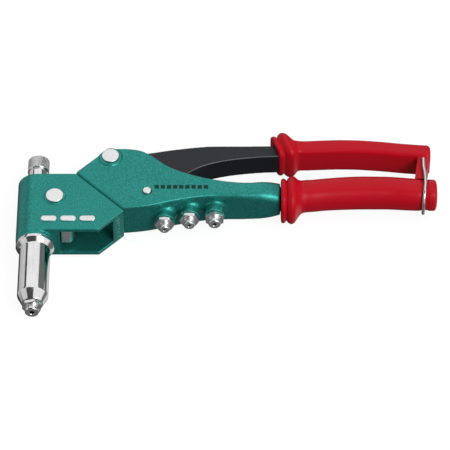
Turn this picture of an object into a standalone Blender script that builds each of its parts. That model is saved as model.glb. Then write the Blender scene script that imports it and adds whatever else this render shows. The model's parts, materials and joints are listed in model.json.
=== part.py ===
"""Swivel-head hand riveter with its handles latched shut, lying on its side.

Metres, +Z up. The design frame has its origin where the nose axis crosses the swivel line's
height datum: +X runs along the handles, -Y is the way the nose points, and z = 0 is the
mid-plane of the tool. One empty carries the whole tool to its place in the world.
"""

import math

import bmesh
import bpy
from mathutils import Matrix, Vector

MM = 0.001
GAP = 0.3 * MM
PI = math.pi
# A length past the far side of any casting, for cutters and half planes
REACH = 60 * MM

# Place of the design origin in the world: the tool's box stands centred on the world origin.
WORLD_X = -119.575 * MM
WORLD_Y = 1.1925 * MM
WORLD_Z = 14.7 * MM

# Head casting
HEAD_RADIUS = 12.25 * MM
HEAD_HALF_Z = HEAD_RADIUS
HEAD_TOP_Y = 32.0 * MM
HEAD_BOTTOM_Y = -14.0 * MM
HEAD_COLLAR_Y = -16.5 * MM
HEAD_CHAMFER = 53.6 * MM
HEAD_CAVITY_HALF_Z = 9.6 * MM
HEAD_CAVITY_WALL_X = 15.2 * MM
HEAD_CAVITY_TOP_Y = 25.5 * MM
SLEEVE_SEAT_RADIUS = 9.9 * MM
JAW_SEAT_RADIUS = 8.2 * MM
CAP_SEAT_RADIUS = 6.3 * MM
CLAW_BOSS_RADIUS = 6.6 * MM
CLAW_PIN = Vector((11.7 * MM, 12.9 * MM, 0))

# Swivel between head and body: its axis runs at 45 degrees through SWIVEL
SWIVEL = Vector((39.8 * MM, 16.7 * MM, 0))
BODY_FACE_S = 0.57 * MM
SPIGOT_RADIUS = 6.5 * MM
ROD_RADIUS = 3.0 * MM

# Body casting with the fixed handle
BODY_HALF_Z = 12.5 * MM
BODY_CAVITY_HALF_Z = 9.9 * MM
BODY_BACK_EDGE = -8.6 * MM
MAIN_PIVOT = Vector((45.9 * MM, 45.5 * MM, 0))
PIVOT_BOSS_RADIUS = 7.2 * MM
STOP_PIN = Vector((69.3 * MM, 17.5 * MM, 0))
STOP_PIN_RADIUS = 2.6 * MM
SPARE_BOSS_RADIUS = 6.3 * MM
SPARES = (
    # name, axis x, hex front y, tip radius, hole radius, hex turn
    ("spare_nosepiece_small", 80.3 * MM, -0.4 * MM, 3.2 * MM, 0.85 * MM, 0.0),
    ("spare_nosepiece_medium", 95.8 * MM, 3.0 * MM, 3.45 * MM, 1.05 * MM, 0.0),
    ("spare_nosepiece_large", 111.6 * MM, 4.05 * MM, 3.9 * MM, 1.3 * MM, PI / 6),
)

# Nose, jaws and draw tube, all turned about the Y axis
SLEEVE_RADIUS = 9.65 * MM
SLEEVE_BORE = 7.4 * MM
NOSE_HEX_FRONT_Y = -66.7 * MM
HEX_ACROSS_FLATS = 11.2 * MM
NUT_ACROSS_FLATS = 15.9 * MM
HEX_LENGTH = 2.4 * MM
TIP_LENGTH = 3.9 * MM
STUB_RADIUS = 4.2 * MM
STUB_LENGTH = 6.2 * MM
MANDREL_BORE = 2.0 * MM
JAW_FRONT_Y = -50.3 * MM

# Moving handle
LEVER_HALF_Z = 7.85 * MM
ROLLER = Vector((53.1 * MM, 31.1 * MM, 0))
ROLLER_RADIUS = 5.0 * MM
ROLLER_PIN_RADIUS = 2.0 * MM
LATCH_PIVOT = Vector((243.4 * MM, 46.5 * MM, 0))
WIRE_RADIUS = 1.0 * MM
BAIL_HALF_Z = 11.2 * MM

PIN_RADIUS = 4.0 * MM
PIN_HOLE = PIN_RADIUS + GAP
PIVOT_BOSS_RISE = 0.9 * MM
LOWER_BOSS_RISE = 0.5 * MM

TO_Y = Matrix.Rotation(-PI / 2, 4, "X")
TO_SWIVEL = Matrix.Translation(SWIVEL) @ Matrix.Rotation(-PI / 4, 4, "Z") @ TO_Y


# --- scene, materials and objects -----------------------------------------------------------


def clear_scene():
    for obj in list(bpy.data.objects):
        bpy.data.objects.remove(obj, do_unlink=True)


def collection(name):
    made = bpy.data.collections.new(name)
    bpy.context.scene.collection.children.link(made)
    return made


def material(name, color, roughness, metallic):
    made = bpy.data.materials.new(name)
    made.use_nodes = True
    shader = made.node_tree.nodes["Principled BSDF"]
    shader.inputs["Base Color"].default_value = (*color, 1)
    shader.inputs["Roughness"].default_value = roughness
    shader.inputs["Metallic"].default_value = metallic
    return made


clear_scene()
PARTS = collection("hand_riveter")
CUTTERS = collection("cutters")
GREEN = material("green_powder_coat", (0.02, 0.24, 0.20), 0.45, 0.2)
BLACK = material("black_paint", (0.02, 0.02, 0.025), 0.35, 0.0)
RED = material("red_pvc", (0.55, 0.01, 0.02), 0.3, 0.0)
CHROME = material("polished_steel", (0.75, 0.75, 0.76), 0.12, 1.0)
STEEL = material("machined_steel", (0.55, 0.55, 0.56), 0.3, 1.0)
PIN = material("satin_pin", (0.8, 0.8, 0.8), 0.35, 1.0)
SPRING = material("spring_steel", (0.4, 0.4, 0.42), 0.3, 1.0)


def empty(name, at, parent=None):
    made = bpy.data.objects.new(name, None)
    made.empty_display_size = 5 * MM
    made.location = at
    made.parent = parent
    PARTS.objects.link(made)
    return made


ROOT = empty("riveter", (WORLD_X, WORLD_Y, WORLD_Z))
HEAD_AXIS = empty("head_swivel_axis", SWIVEL, ROOT)
ROD_AXIS = empty("push_rod_axis", SWIVEL, ROOT)
HANDLE_AXIS = empty("handle_hinge_axis", MAIN_PIVOT, ROOT)
CLAW_AXIS = empty("claw_hinge_axis", CLAW_PIN, ROOT)
NOSE_AXIS = empty("nose_axis", (0, 0, 0), ROOT)
ROLLER_AXIS = empty("roller_axis", ROLLER, ROOT)
LATCH_AXIS = empty("latch_hinge_axis", LATCH_PIVOT, ROOT)


def carry(obj, axis):
    """Hangs an object made in the design frame on an empty, without moving it."""
    obj.parent = axis
    if axis is not ROOT:
        obj.matrix_parent_inverse = Matrix.Translation(-Vector(axis.location))


def finish(obj, axis, look):
    """Puts a finished part, and the shapes that its Booleans use, on its axis."""
    carry(obj, axis)
    for modifier in obj.modifiers:
        if modifier.type == "BOOLEAN" and modifier.object.parent is None:
            carry_tools(modifier.object, axis)
    obj.data.materials.clear()
    obj.data.materials.append(look)
    obj.data.shade_smooth()
    obj.data.set_sharp_from_angle(angle=math.radians(30))
    return obj


def carry_tools(tool, axis):
    carry(tool, axis)
    for modifier in tool.modifiers:
        if modifier.type == "BOOLEAN" and modifier.object.parent is None:
            carry_tools(modifier.object, axis)


def new_part(name, mesh, matrix=None):
    obj = bpy.data.objects.new(name, mesh)
    PARTS.objects.link(obj)
    if matrix is not None:
        obj.matrix_basis = matrix
    return obj


def boolean(obj, tool, operation):
    modifier = obj.modifiers.new(tool.name, "BOOLEAN")
    modifier.operation = operation
    modifier.object = tool
    PARTS.objects.unlink(tool)
    CUTTERS.objects.link(tool)
    tool.hide_render = True
    tool.display_type = "WIRE"


def cut(obj, *tools):
    for tool in tools:
        boolean(obj, tool, "DIFFERENCE")


def join(obj, *tools):
    for tool in tools:
        boolean(obj, tool, "UNION")


# --- shapes ---------------------------------------------------------------------------------


def cylinder(name, radius, start, end, sides=32):
    """A closed cylinder from one point to another."""
    start, end = Vector(start), Vector(end)
    mesh = bpy.data.meshes.new(name)
    bm = bmesh.new()
    length = (end - start).length
    turn = Vector((0, 0, 1)).rotation_difference(end - start).to_matrix().to_4x4()
    bmesh.ops.create_cone(
        bm,
        cap_ends=True,
        segments=sides,
        radius1=radius,
        radius2=radius,
        depth=length,
        matrix=Matrix.Translation((start + end) / 2) @ turn,
    )
    bm.to_mesh(mesh)
    bm.free()
    return new_part(name, mesh)


def turned(name, profile, matrix=None, steps=32, closed=True):
    """A profile of (radius, height) turned about its axis, which the matrix then places.

    The profile runs down the outer side, and back up the bore when the part is a tube.
    """
    mesh = bpy.data.meshes.new(name)
    points = [(radius, 0, height) for radius, height in profile]
    edges = [(i, i + 1) for i in range(len(points) - 1)]
    if closed:
        edges.append((len(points) - 1, 0))
    mesh.from_pydata(points, edges, [])
    obj = new_part(name, mesh, matrix)
    screw = obj.modifiers.new("turn", "SCREW")
    screw.steps = steps
    screw.render_steps = steps
    screw.use_merge_vertices = True
    screw.merge_threshold = 0.00001
    return obj


def plate(name, points, z_low, z_high):
    """A flat outline, given counter-clockwise, raised from z_low to z_high."""
    curve = bpy.data.curves.new(name, "CURVE")
    curve.dimensions = "2D"
    curve.fill_mode = "BOTH"
    curve.extrude = (z_high - z_low) / 2
    spline = curve.splines.new("POLY")
    spline.points.add(len(points) - 1)
    for point, (x, y) in zip(spline.points, points):
        point.co = (x, y, 0, 1)
    spline.use_cyclic_u = True
    return curve_to_mesh(name, curve, Matrix.Translation((0, 0, (z_high + z_low) / 2)))


def curve_to_mesh(name, curve, matrix):
    """The curve's shape as a mesh object with its caps welded on."""
    guide = bpy.data.objects.new(name + "_guide", curve)
    bpy.context.scene.collection.objects.link(guide)
    guide.matrix_basis = matrix
    bpy.context.view_layer.update()
    shape = guide.evaluated_get(bpy.context.evaluated_depsgraph_get())
    mesh = bpy.data.meshes.new_from_object(shape)
    mesh.transform(guide.matrix_world)
    bpy.data.objects.remove(guide)
    bm = bmesh.new()
    bm.from_mesh(mesh)
    bmesh.ops.remove_doubles(bm, verts=bm.verts, dist=0.000001)
    bmesh.ops.recalc_face_normals(bm, faces=bm.faces)
    bm.to_mesh(mesh)
    bm.free()
    return new_part(name, mesh)


def wire(name, points, radius, sides_level):
    """A round wire through the points, with flat ends."""
    curve = bpy.data.curves.new(name, "CURVE")
    curve.dimensions = "3D"
    curve.bevel_depth = radius
    curve.bevel_resolution = sides_level
    curve.use_fill_caps = True
    spline = curve.splines.new("POLY")
    spline.points.add(len(points) - 1)
    for point, place in zip(spline.points, points):
        point.co = (*place, 1)
    return curve_to_mesh(name, curve, Matrix.Identity(4))


def loft(name, rings, closed=False):
    """A skin over rings of equal counts; closed joins the last ring to the first."""
    count = len(rings[0])
    points = [point for ring in rings for point in ring]
    faces = []
    spans = len(rings) if closed else len(rings) - 1
    for i in range(spans):
        a, b = i * count, ((i + 1) % len(rings)) * count
        for j in range(count):
            k = (j + 1) % count
            faces.append((a + j, a + k, b + k, b + j))
    if not closed:
        faces.append(tuple(reversed(range(count))))
        faces.append(tuple(range(len(points) - count, len(points))))
    mesh = bpy.data.meshes.new(name)
    mesh.from_pydata(points, [], faces)
    bm = bmesh.new()
    bm.from_mesh(mesh)
    bmesh.ops.recalc_face_normals(bm, faces=bm.faces)
    bm.to_mesh(mesh)
    bm.free()
    return new_part(name, mesh)


def arc(center, radius, start, end, count):
    """Points on an arc, angles in degrees, counter-clockwise from start to end."""
    angles = [math.radians(start + (end - start) * i / count) for i in range(count + 1)]
    return [(center[0] + radius * math.cos(a), center[1] + radius * math.sin(a)) for a in angles]


def capsule(first, first_radius, second, second_radius, count=10):
    """The outline around two circles and the two straight runs that touch both."""
    dx, dy = second[0] - first[0], second[1] - first[1]
    along = math.degrees(math.atan2(dy, dx))
    lean = math.degrees(math.acos((first_radius - second_radius) / math.hypot(dx, dy)))
    tail = arc(first, first_radius, along + lean, along + 360 - lean, count)
    nose = arc(second, second_radius, along - lean, along + lean, count)
    return tail + nose


def hex_radius(across_flats, angle, turn):
    """How far a hexagon's edge is from its centre at an angle, flats at turn + 30 degrees."""
    lean = (angle - turn) % (PI / 3) - PI / 6
    return across_flats / 2 / math.cos(lean)


def rounded_ring(half_a, half_b, radius, per_corner):
    """A rounded rectangle as (a, b) pairs, counter-clockwise, a vertex on each axis."""
    pairs = []
    corners = ((1, 1, 0), (-1, 1, 90), (-1, -1, 180), (1, -1, 270))
    for sign_a, sign_b, start in corners:
        center = (sign_a * (half_a - radius), sign_b * (half_b - radius))
        pairs += arc(center, radius, start, start + 90, per_corner)
    return pairs


def helix(radius, low, high, turns, per_turn=10):
    """Points of a coil about the Y axis from y = low to y = high."""
    count = turns * per_turn
    points = []
    for i in range(count + 1):
        angle = 2 * PI * i / per_turn
        y = low + (high - low) * i / count
        points.append((radius * math.cos(angle), y, radius * math.sin(angle)))
    return points


def between(table, x):
    """Straight-line value at x from a table whose rows start with x."""
    for low, high in zip(table, table[1:]):
        if x <= high[0]:
            share = (x - low[0]) / (high[0] - low[0])
            return [a + (b - a) * share for a, b in zip(low[1:], high[1:])]
    return list(table[-1][1:])


# --- head -----------------------------------------------------------------------------------


def make_head_casting():
    outline = arc((0, 0), HEAD_RADIUS, 90, 270, 20)
    outline += [(REACH, -HEAD_HALF_Z), (REACH, HEAD_HALF_Z)]
    low = [(x, HEAD_BOTTOM_Y, z) for x, z in outline]
    high = [(x, HEAD_TOP_Y, z) for x, z in outline]
    head = loft("head_casting", [low, high])
    cut(
        head,
        plate("head_swivel_plane", half_plane_45(SWIVEL, 0), -REACH, REACH),
        plate("head_chamfer_plane", chamfer_corner(), -REACH, REACH),
    )
    collar_top = (0, HEAD_BOTTOM_Y + 3 * MM, 0)
    join(head, cylinder("head_collar", HEAD_RADIUS - GAP, (0, HEAD_COLLAR_Y, 0), collar_top))
    for side_name, sign in (("upper", 1), ("lower", -1)):
        base = CLAW_PIN + Vector((0, 0, sign * 10.5 * MM))
        top = CLAW_PIN + Vector((0, 0, sign * (HEAD_HALF_Z + LOWER_BOSS_RISE)))
        join(head, cylinder("claw_boss_" + side_name, CLAW_BOSS_RADIUS, base, top))
    half = HEAD_CAVITY_HALF_Z
    up = Vector((0, 0, REACH))
    cut(
        head,
        plate("head_cavity", head_cavity_outline(), -half, half),
        cylinder("sleeve_bore", SLEEVE_SEAT_RADIUS, (0, -18 * MM, 0), (0, -5 * MM, 0)),
        cylinder("jaw_bore", JAW_SEAT_RADIUS, (0, -6 * MM, 0), (0, 25.2 * MM, 0)),
        cylinder("cap_bore", CAP_SEAT_RADIUS, (0, 24.7 * MM, 0), (0, 34 * MM, 0)),
        cylinder("claw_pin_bore", PIN_HOLE, CLAW_PIN - up, CLAW_PIN + up),
        cylinder("head_spigot_bore", SPIGOT_RADIUS + GAP, on_swivel(-6 * MM), on_swivel(2 * MM)),
    )
    return finish(head, HEAD_AXIS, GREEN)


def on_swivel(s):
    """The point at distance s along the swivel axis from the joint face, towards the body."""
    step = s / math.sqrt(2)
    return SWIVEL + Vector((step, step, 0))


def half_plane_45(through, s):
    """An outline that covers everything beyond the swivel face at distance s."""
    along, away = Vector((1, -1)) / math.sqrt(2), Vector((1, 1)) / math.sqrt(2)
    base = Vector(through[:2]) + away * s
    left, right = base - along * REACH, base + along * REACH
    return [tuple(left), tuple(right), tuple(right + away * REACH), tuple(left + away * REACH)]


def chamfer_corner():
    """The corner below the 45 degree chamfer of the head, where x - y is over HEAD_CHAMFER."""
    return [
        (HEAD_CHAMFER - REACH, -REACH),
        (HEAD_CHAMFER + REACH, -REACH),
        (HEAD_CHAMFER + REACH, REACH),
    ]


def head_cavity_outline():
    """Room for the claw lever: open below and through the chamfer."""
    wall_x, window_x = HEAD_CAVITY_WALL_X, 48.3 * MM
    inner_face = 51.2 * MM
    top = HEAD_CAVITY_TOP_Y
    return [
        (wall_x, -30 * MM),
        (window_x, -30 * MM),
        (window_x, inner_face - window_x),
        (inner_face - top, top),
        (-3 * MM, top),
        (-3 * MM, 4 * MM),
        (wall_x, -6.4 * MM),
    ]


def make_pivot_pin(name, at, head_radius, head_low, head_high, lower_boss, axis):
    """A headed pin, and the clip in its groove just under the lower boss."""
    groove_high = lower_boss - GAP
    groove_low = groove_high - 0.7 * MM
    shank_end = groove_low - 0.5 * MM
    groove_radius = PIN_RADIUS - 0.6 * MM
    profile = [
        (0, head_high),
        (head_radius - 0.6 * MM, head_high),
        (head_radius, head_high - 0.4 * MM),
        (head_radius, head_low),
        (PIN_RADIUS, head_low),
        (PIN_RADIUS, groove_high),
        (groove_radius, groove_high),
        (groove_radius, groove_low),
        (PIN_RADIUS, groove_low),
        (PIN_RADIUS - 0.3 * MM, shank_end),
        (0, shank_end),
    ]
    pin = turned(name + "_pin", profile, Matrix.Translation(at), 28, closed=False)
    finish(pin, axis, PIN)
    play = 0.05 * MM
    inner, outer = groove_radius + 4 * play, head_radius
    make_ring(name + "_clip", at, inner, outer, groove_low + play, groove_high - play, axis, PIN)


def make_ring(name, at, inner, outer, low, high, axis, look, sides=24):
    profile = [(outer, high), (outer, low), (inner, low), (inner, high)]
    return finish(turned(name, profile, Matrix.Translation(at), sides), axis, look)


def make_sleeve():
    profile = [
        (9.6 * MM, -5.3 * MM),
        (9.6 * MM, -16.8 * MM),
        (12.06 * MM, -16.8 * MM),
        (12.06 * MM, -18.8 * MM),
        (SLEEVE_RADIUS, -22 * MM),
        (SLEEVE_RADIUS, -57.5 * MM),
        (6.5 * MM, -64 * MM),
        (4.5 * MM, -64 * MM),
        (4.5 * MM, -60 * MM),
        (SLEEVE_BORE, -57 * MM),
        (SLEEVE_BORE, -5.3 * MM),
    ]
    return finish(turned("nose_sleeve", profile, TO_Y, 36), HEAD_AXIS, CHROME)


def make_nosepiece(name, x, hex_front, tip_radius, hole_radius, turn, axis):
    """A screw-in nosepiece pointing to -Y: threaded stub, hexagon and drilled tip."""
    count = 24
    angles = [2 * PI * i / count for i in range(count)]
    hex_back = hex_front + HEX_LENGTH
    stub_end = hex_back + STUB_LENGTH
    tip_end = hex_front - TIP_LENGTH

    def circle(radius, y):
        return [(x + radius * math.cos(a), y, radius * math.sin(a)) for a in angles]

    def hexagon(y):
        spokes = [(hex_radius(HEX_ACROSS_FLATS, a, turn), a) for a in angles]
        return [(x + r * math.cos(a), y, r * math.sin(a)) for r, a in spokes]

    rings = [
        circle(STUB_RADIUS - 0.5 * MM, stub_end),
        circle(STUB_RADIUS, stub_end - 0.5 * MM),
        circle(STUB_RADIUS, hex_back),
        hexagon(hex_back),
        hexagon(hex_front),
        circle(tip_radius + 0.3 * MM, hex_front),
        circle(tip_radius, tip_end + 0.6 * MM),
        circle(tip_radius - 0.6 * MM, tip_end),
        circle(hole_radius, tip_end),
        circle(hole_radius, stub_end),
    ]
    return finish(loft(name, rings, closed=True), axis, CHROME)


def make_end_cap():
    profile = [
        (6.2 * MM, 52.6 * MM),
        (6.8 * MM, 52.0 * MM),
        (6.8 * MM, 43.6 * MM),
        (6.2 * MM, 42.9 * MM),
        (5.6 * MM, 42.8 * MM),
        (5.6 * MM, 42.2 * MM),
        (6.5 * MM, 41.6 * MM),
        (6.5 * MM, 33.0 * MM),
        (6.7 * MM, 32.3 * MM),
        (6.0 * MM, 32.3 * MM),
        (6.0 * MM, 25.8 * MM),
        (4.7 * MM, 25.8 * MM),
        (4.7 * MM, 48.5 * MM),
        (2.4 * MM, 49.5 * MM),
        (2.4 * MM, 52.6 * MM),
    ]
    return finish(turned("end_cap", profile, TO_Y, 32), NOSE_AXIS, CHROME)


# --- swivel and push rod --------------------------------------------------------------------


def make_swivel():
    flange, face = 7.0 * MM, 5.05 * MM
    spigot = [
        (9.3 * MM, flange),
        (9.3 * MM, face),
        (SPIGOT_RADIUS, face),
        (SPIGOT_RADIUS, -8.6 * MM),
        (ROD_RADIUS + 0.4 * MM, -8.6 * MM),
        (ROD_RADIUS + 0.4 * MM, flange),
    ]
    finish(turned("swivel_spigot", spigot, TO_SWIVEL, 32), ROOT, STEEL)
    washer = [
        (9.2 * MM, -4.05 * MM),
        (9.2 * MM, -4.95 * MM),
        (6.8 * MM, -4.95 * MM),
        (6.8 * MM, -4.05 * MM),
    ]
    finish(turned("swivel_washer", washer, TO_SWIVEL, 28), HEAD_AXIS, STEEL)
    make_swivel_nut(-8.2 * MM, -5.25 * MM)


def make_swivel_nut(low, high):
    """A hexagon nut on the spigot's inner end, that keeps the head on."""
    count = 24
    angles = [2 * PI * i / count for i in range(count)]

    def hexagon(s):
        spokes = [(hex_radius(NUT_ACROSS_FLATS, a, 0), a) for a in angles]
        return [TO_SWIVEL @ Vector((r * math.cos(a), r * math.sin(a), s)) for r, a in spokes]

    def circle(s):
        radius = SPIGOT_RADIUS + GAP
        return [TO_SWIVEL @ Vector((radius * math.cos(a), radius * math.sin(a), s)) for a in angles]

    rings = [hexagon(low), hexagon(high), circle(high), circle(low)]
    finish(loft("swivel_nut", rings, closed=True), ROOT, CHROME)


def make_push_rod():
    low, high = -23.2 * MM, 14.3 * MM
    profile = [
        (0, high),
        (ROD_RADIUS - 0.8 * MM, high),
        (ROD_RADIUS, high - 0.8 * MM),
        (ROD_RADIUS, low + 1.3 * MM),
        (1.2 * MM, low),
        (0, low),
    ]
    finish(turned("push_rod", profile, TO_SWIVEL, 24, closed=False), ROD_AXIS, STEEL)


# --- claw lever, draw tube and jaws ---------------------------------------------------------


# The blunt end of the claw lever's long arm, in mm
CLAW_HEEL = (
    (15.8, -3.0),
    (15.8, -9.0),
    (16.4, -9.8),
    (19.0, -10.0),
    (21.3, -9.5),
    (23.0, -8.2),
    (23.9, -6.3),
    (24.0, -4.2),
    (23.2, -1.5),
)


def make_claw_lever():
    """Lever in the head: the push rod drives its long arm, its fork lifts the draw tube."""
    pivot = (CLAW_PIN.x, CLAW_PIN.y)
    arm_end = (19.95 * MM, -5.9 * MM)
    fork_tip = (0.48 * MM, 16.3 * MM)
    fork_root = (8.6 * MM, 13.8 * MM)
    lever = plate("claw_lever", capsule(pivot, 6.4 * MM, arm_end, 4.0 * MM, 12), -5.5 * MM, 5.5 * MM)
    join(
        lever,
        cylinder("claw_eye", 6.45 * MM, (*pivot, -7.3 * MM), (*pivot, 7.3 * MM)),
        plate("claw_fork", capsule(fork_root, 2.2 * MM, fork_tip, 1.5 * MM, 8), -7.2 * MM, 7.2 * MM),
        cylinder("claw_fork_tip", 2.6 * MM, (*fork_tip, -7.1 * MM), (*fork_tip, 7.1 * MM), 20),
        plate("claw_heel", [(x * MM, y * MM) for x, y in CLAW_HEEL], -5.5 * MM, 5.5 * MM),
    )
    slot = [(-6 * MM, 8 * MM), (6.6 * MM, 8 * MM), (6.6 * MM, 24 * MM), (-6 * MM, 24 * MM)]
    cut(
        lever,
        plate("claw_slot", slot, -3.8 * MM, 3.8 * MM),
        cylinder("claw_eye_bore", PIN_HOLE, (*pivot, -9 * MM), (*pivot, 9 * MM), 28),
    )
    return finish(lever, CLAW_AXIS, CHROME)


def make_draw_tube():
    profile = [
        (2.9 * MM, 34 * MM),
        (2.9 * MM, 19 * MM),
        (3.4 * MM, 19 * MM),
        (3.4 * MM, 13.3 * MM),
        (5.2 * MM, 13.3 * MM),
        (5.2 * MM, -13 * MM),
        (6.9 * MM, -13 * MM),
        (6.9 * MM, -19.7 * MM),
        (5.1 * MM, -19.7 * MM),
        (5.1 * MM, -24.2 * MM),
        (MANDREL_BORE, -24.2 * MM),
        (MANDREL_BORE, 34 * MM),
    ]
    finish(turned("draw_tube", profile, TO_Y, 28), NOSE_AXIS, STEEL)
    collar = [(5.2 * MM, 22.6 * MM), (5.2 * MM, 19.3 * MM), (3.2 * MM, 19.3 * MM), (3.2 * MM, 22.6 * MM)]
    finish(turned("draw_collar", collar, TO_Y, 24), NOSE_AXIS, STEEL)
    coil = helix(3.95 * MM, 23.4 * MM, 47.9 * MM, 7)
    finish(wire("return_spring", coil, 0.4 * MM, 1), NOSE_AXIS, SPRING)


def jaw_cone(y):
    """Radius of the jaw case's tapered bore."""
    return 3.6 * MM + 0.15 * (y + 50 * MM)


def make_jaws():
    case = [
        (6.9 * MM, -20 * MM),
        (6.9 * MM, -49 * MM),
        (6.2 * MM, -50 * MM),
        (jaw_cone(-50 * MM), -50 * MM),
        (jaw_cone(-38 * MM), -38 * MM),
        (jaw_cone(-38 * MM), -20 * MM),
    ]
    finish(turned("jaw_case", case, TO_Y, 28), NOSE_AXIS, STEEL)
    for number, turn in enumerate((90, 210, 330), 1):
        make_jaw(f"jaw_{number}", math.radians(turn))
    pusher = [
        (4.9 * MM, -33 * MM),
        (4.9 * MM, -37 * MM),
        (3.2 * MM, -38.1 * MM),
        (1.8 * MM, -38.1 * MM),
        (1.8 * MM, -33 * MM),
    ]
    finish(turned("jaw_pusher", pusher, TO_Y, 24), NOSE_AXIS, STEEL)
    coil = helix(4.3 * MM, -32.2 * MM, -25.0 * MM, 4)
    finish(wire("jaw_spring", coil, 0.4 * MM, 1), NOSE_AXIS, SPRING)


def make_jaw(name, turn):
    """A third of a split cone with a small toothless grip bore."""
    grip_radius, side_gap, spread = 1.2 * MM, 0.25 * MM, 60
    rings = []
    for y in (JAW_FRONT_Y, -38.6 * MM):
        outer = jaw_cone(y) - GAP
        lean = math.degrees(math.asin(side_gap / outer))
        inner_lean = math.degrees(math.asin(side_gap / grip_radius))
        ring = arc((0, 0), outer, lean - spread, spread - lean, 6)
        ring += arc((0, 0), grip_radius, spread - inner_lean, inner_lean - spread, 4)
        rings.append([(x, y, z) for x, z in ring])
    jaw = loft(name, rings)
    jaw.data.transform(Matrix.Rotation(turn, 4, "Y"))
    finish(jaw, NOSE_AXIS, STEEL)


# --- body casting and fixed handle ----------------------------------------------------------

# x, low y, high y, half thickness, low corner radius, high corner radius
BODY_SECTIONS = [
    tuple(value * MM for value in row)
    for row in (
        (20.0, 3.3, 53.1, 12.5, 1.0, 0.8),
        (56.0, 3.6, 53.1, 12.5, 1.0, 0.8),
        (58.5, 3.9, 53.0, 12.5, 1.0, 0.8),
        (63.2, 4.4, 52.0, 12.5, 1.0, 0.8),
        (67.1, 4.9, 50.4, 12.5, 1.0, 0.8),
        (70.1, 5.5, 48.5, 12.5, 1.0, 0.8),
        (77.0, 7.2, 42.6, 12.5, 1.0, 0.8),
        (82.2, 8.6, 38.4, 12.5, 1.1, 0.8),
        (90.1, 10.6, 34.2, 12.5, 1.2, 0.8),
        (97.9, 12.3, 31.1, 12.5, 1.4, 0.8),
        (105.8, 13.4, 28.7, 12.5, 1.9, 0.9),
        (113.6, 13.8, 27.0, 12.5, 2.5, 1.2),
        (120.5, 13.8, 26.1, 12.5, 3.0, 1.8),
        (127.5, 13.5, 25.8, 12.5, 3.6, 2.6),
        (134.0, 13.3, 26.2, 12.5, 4.4, 3.6),
        (140.0, 13.1, 27.5, 12.4, 5.2, 4.8),
        (146.5, 13.0, 28.7, 11.5, 6.0, 6.0),
        (152.7, 13.2, 29.4, 9.7, 6.6, 6.6),
        (152.9, 14.9, 27.5, 7.3, 5.6, 5.6),
        (171.0, 17.5, 30.1, 7.3, 5.6, 5.6),
        (190.5, 19.6, 32.2, 7.3, 5.6, 5.6),
        (219.5, 20.2, 32.8, 7.3, 5.6, 5.6),
        (238.7, 19.2, 31.0, 6.8, 5.4, 5.4),
        (246.5, 20.0, 29.4, 5.4, 4.4, 4.4),
    )
]


def body_ring(row, per_corner=3):
    x, low, high, half_z, low_radius, high_radius = row
    middle = (low + high) / 2
    half_y = (high - low) / 2
    ring = []
    corners = (
        (1, 1, 0, high_radius),
        (-1, 1, 90, low_radius),
        (-1, -1, 180, low_radius),
        (1, -1, 270, high_radius),
    )
    for sign_y, sign_z, start, radius in corners:
        center = (sign_y * (half_y - radius), sign_z * (half_z - radius))
        ring += arc(center, radius, start, start + 90, per_corner)
    return [(x, middle + a, b) for a, b in ring]


def body_channel_outline():
    """The channel between the body's two cheeks: open along the back for the moving handle."""
    inner_face = 63.2 * MM
    left_inner = -4.9 * MM
    corner_x = (inner_face + left_inner) / 2
    return [
        (corner_x, corner_x - left_inner),
        (56.2 * MM, 7.0 * MM),
        (67.1 * MM, 8.4 * MM),
        (77.5 * MM, 10.8 * MM),
        (87.7 * MM, 13.5 * MM),
        (98.0 * MM, 15.9 * MM),
        (104.0 * MM, 17.2 * MM),
        (109.5 * MM, 22.0 * MM),
        (112.0 * MM, 70.0 * MM),
        (20.0 * MM, 70.0 * MM),
        (28.6 * MM, 45.5 * MM),
        (34.5 * MM, 39.4 * MM),
    ]


def make_body_casting():
    body = loft("body_casting", [body_ring(row) for row in BODY_SECTIONS])
    for name, x, hex_front, *_ in SPARES:
        seat = hex_front + HEX_LENGTH + GAP
        wall = between(BODY_SECTIONS, x)[0]
        inside = wall + 2 * MM
        join(body, cylinder("boss_of_" + name, SPARE_BOSS_RADIUS, (x, seat, 0), (x, inside, 0), 28))
    for side_name, sign in (("upper", 1), ("lower", -1)):
        base = MAIN_PIVOT + Vector((0, 0, sign * 10.8 * MM))
        rise = PIVOT_BOSS_RISE if sign > 0 else LOWER_BOSS_RISE
        top = MAIN_PIVOT + Vector((0, 0, sign * (BODY_HALF_Z + rise)))
        join(body, cylinder("pivot_boss_" + side_name, PIVOT_BOSS_RADIUS, base, top))
    front = half_plane_45(SWIVEL, BODY_FACE_S)
    away = Vector((1, 1)) / math.sqrt(2) * REACH
    before = [front[0], tuple(Vector(front[0]) - away), tuple(Vector(front[1]) - away), front[1]]
    back = [(BODY_BACK_EDGE, 0), (REACH + BODY_BACK_EDGE, REACH), (BODY_BACK_EDGE, REACH)]
    half = BODY_CAVITY_HALF_Z
    up = Vector((0, 0, REACH))
    cut(
        body,
        plate("body_swivel_plane", before, -REACH, REACH),
        plate("body_back_plane", back, -REACH, REACH),
        plate("body_channel", body_channel_outline(), -half, half),
        cylinder("main_pivot_bore", PIN_HOLE, MAIN_PIVOT - up, MAIN_PIVOT + up, 28),
        cylinder("stop_pin_bore", STOP_PIN_RADIUS + GAP, STOP_PIN - up, STOP_PIN + up, 20),
        cylinder("body_spigot_bore", SPIGOT_RADIUS + GAP, on_swivel(-1 * MM), on_swivel(6 * MM)),
    )
    for name, x, hex_front, *_ in SPARES:
        seat = hex_front + HEX_LENGTH
        mouth, bottom = (x, seat - 2 * MM, 0), (x, seat + STUB_LENGTH + 2 * GAP, 0)
        cut(body, cylinder("thread_of_" + name, STUB_RADIUS + GAP, mouth, bottom, 24))
    return finish(body, ROOT, GREEN)


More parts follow.
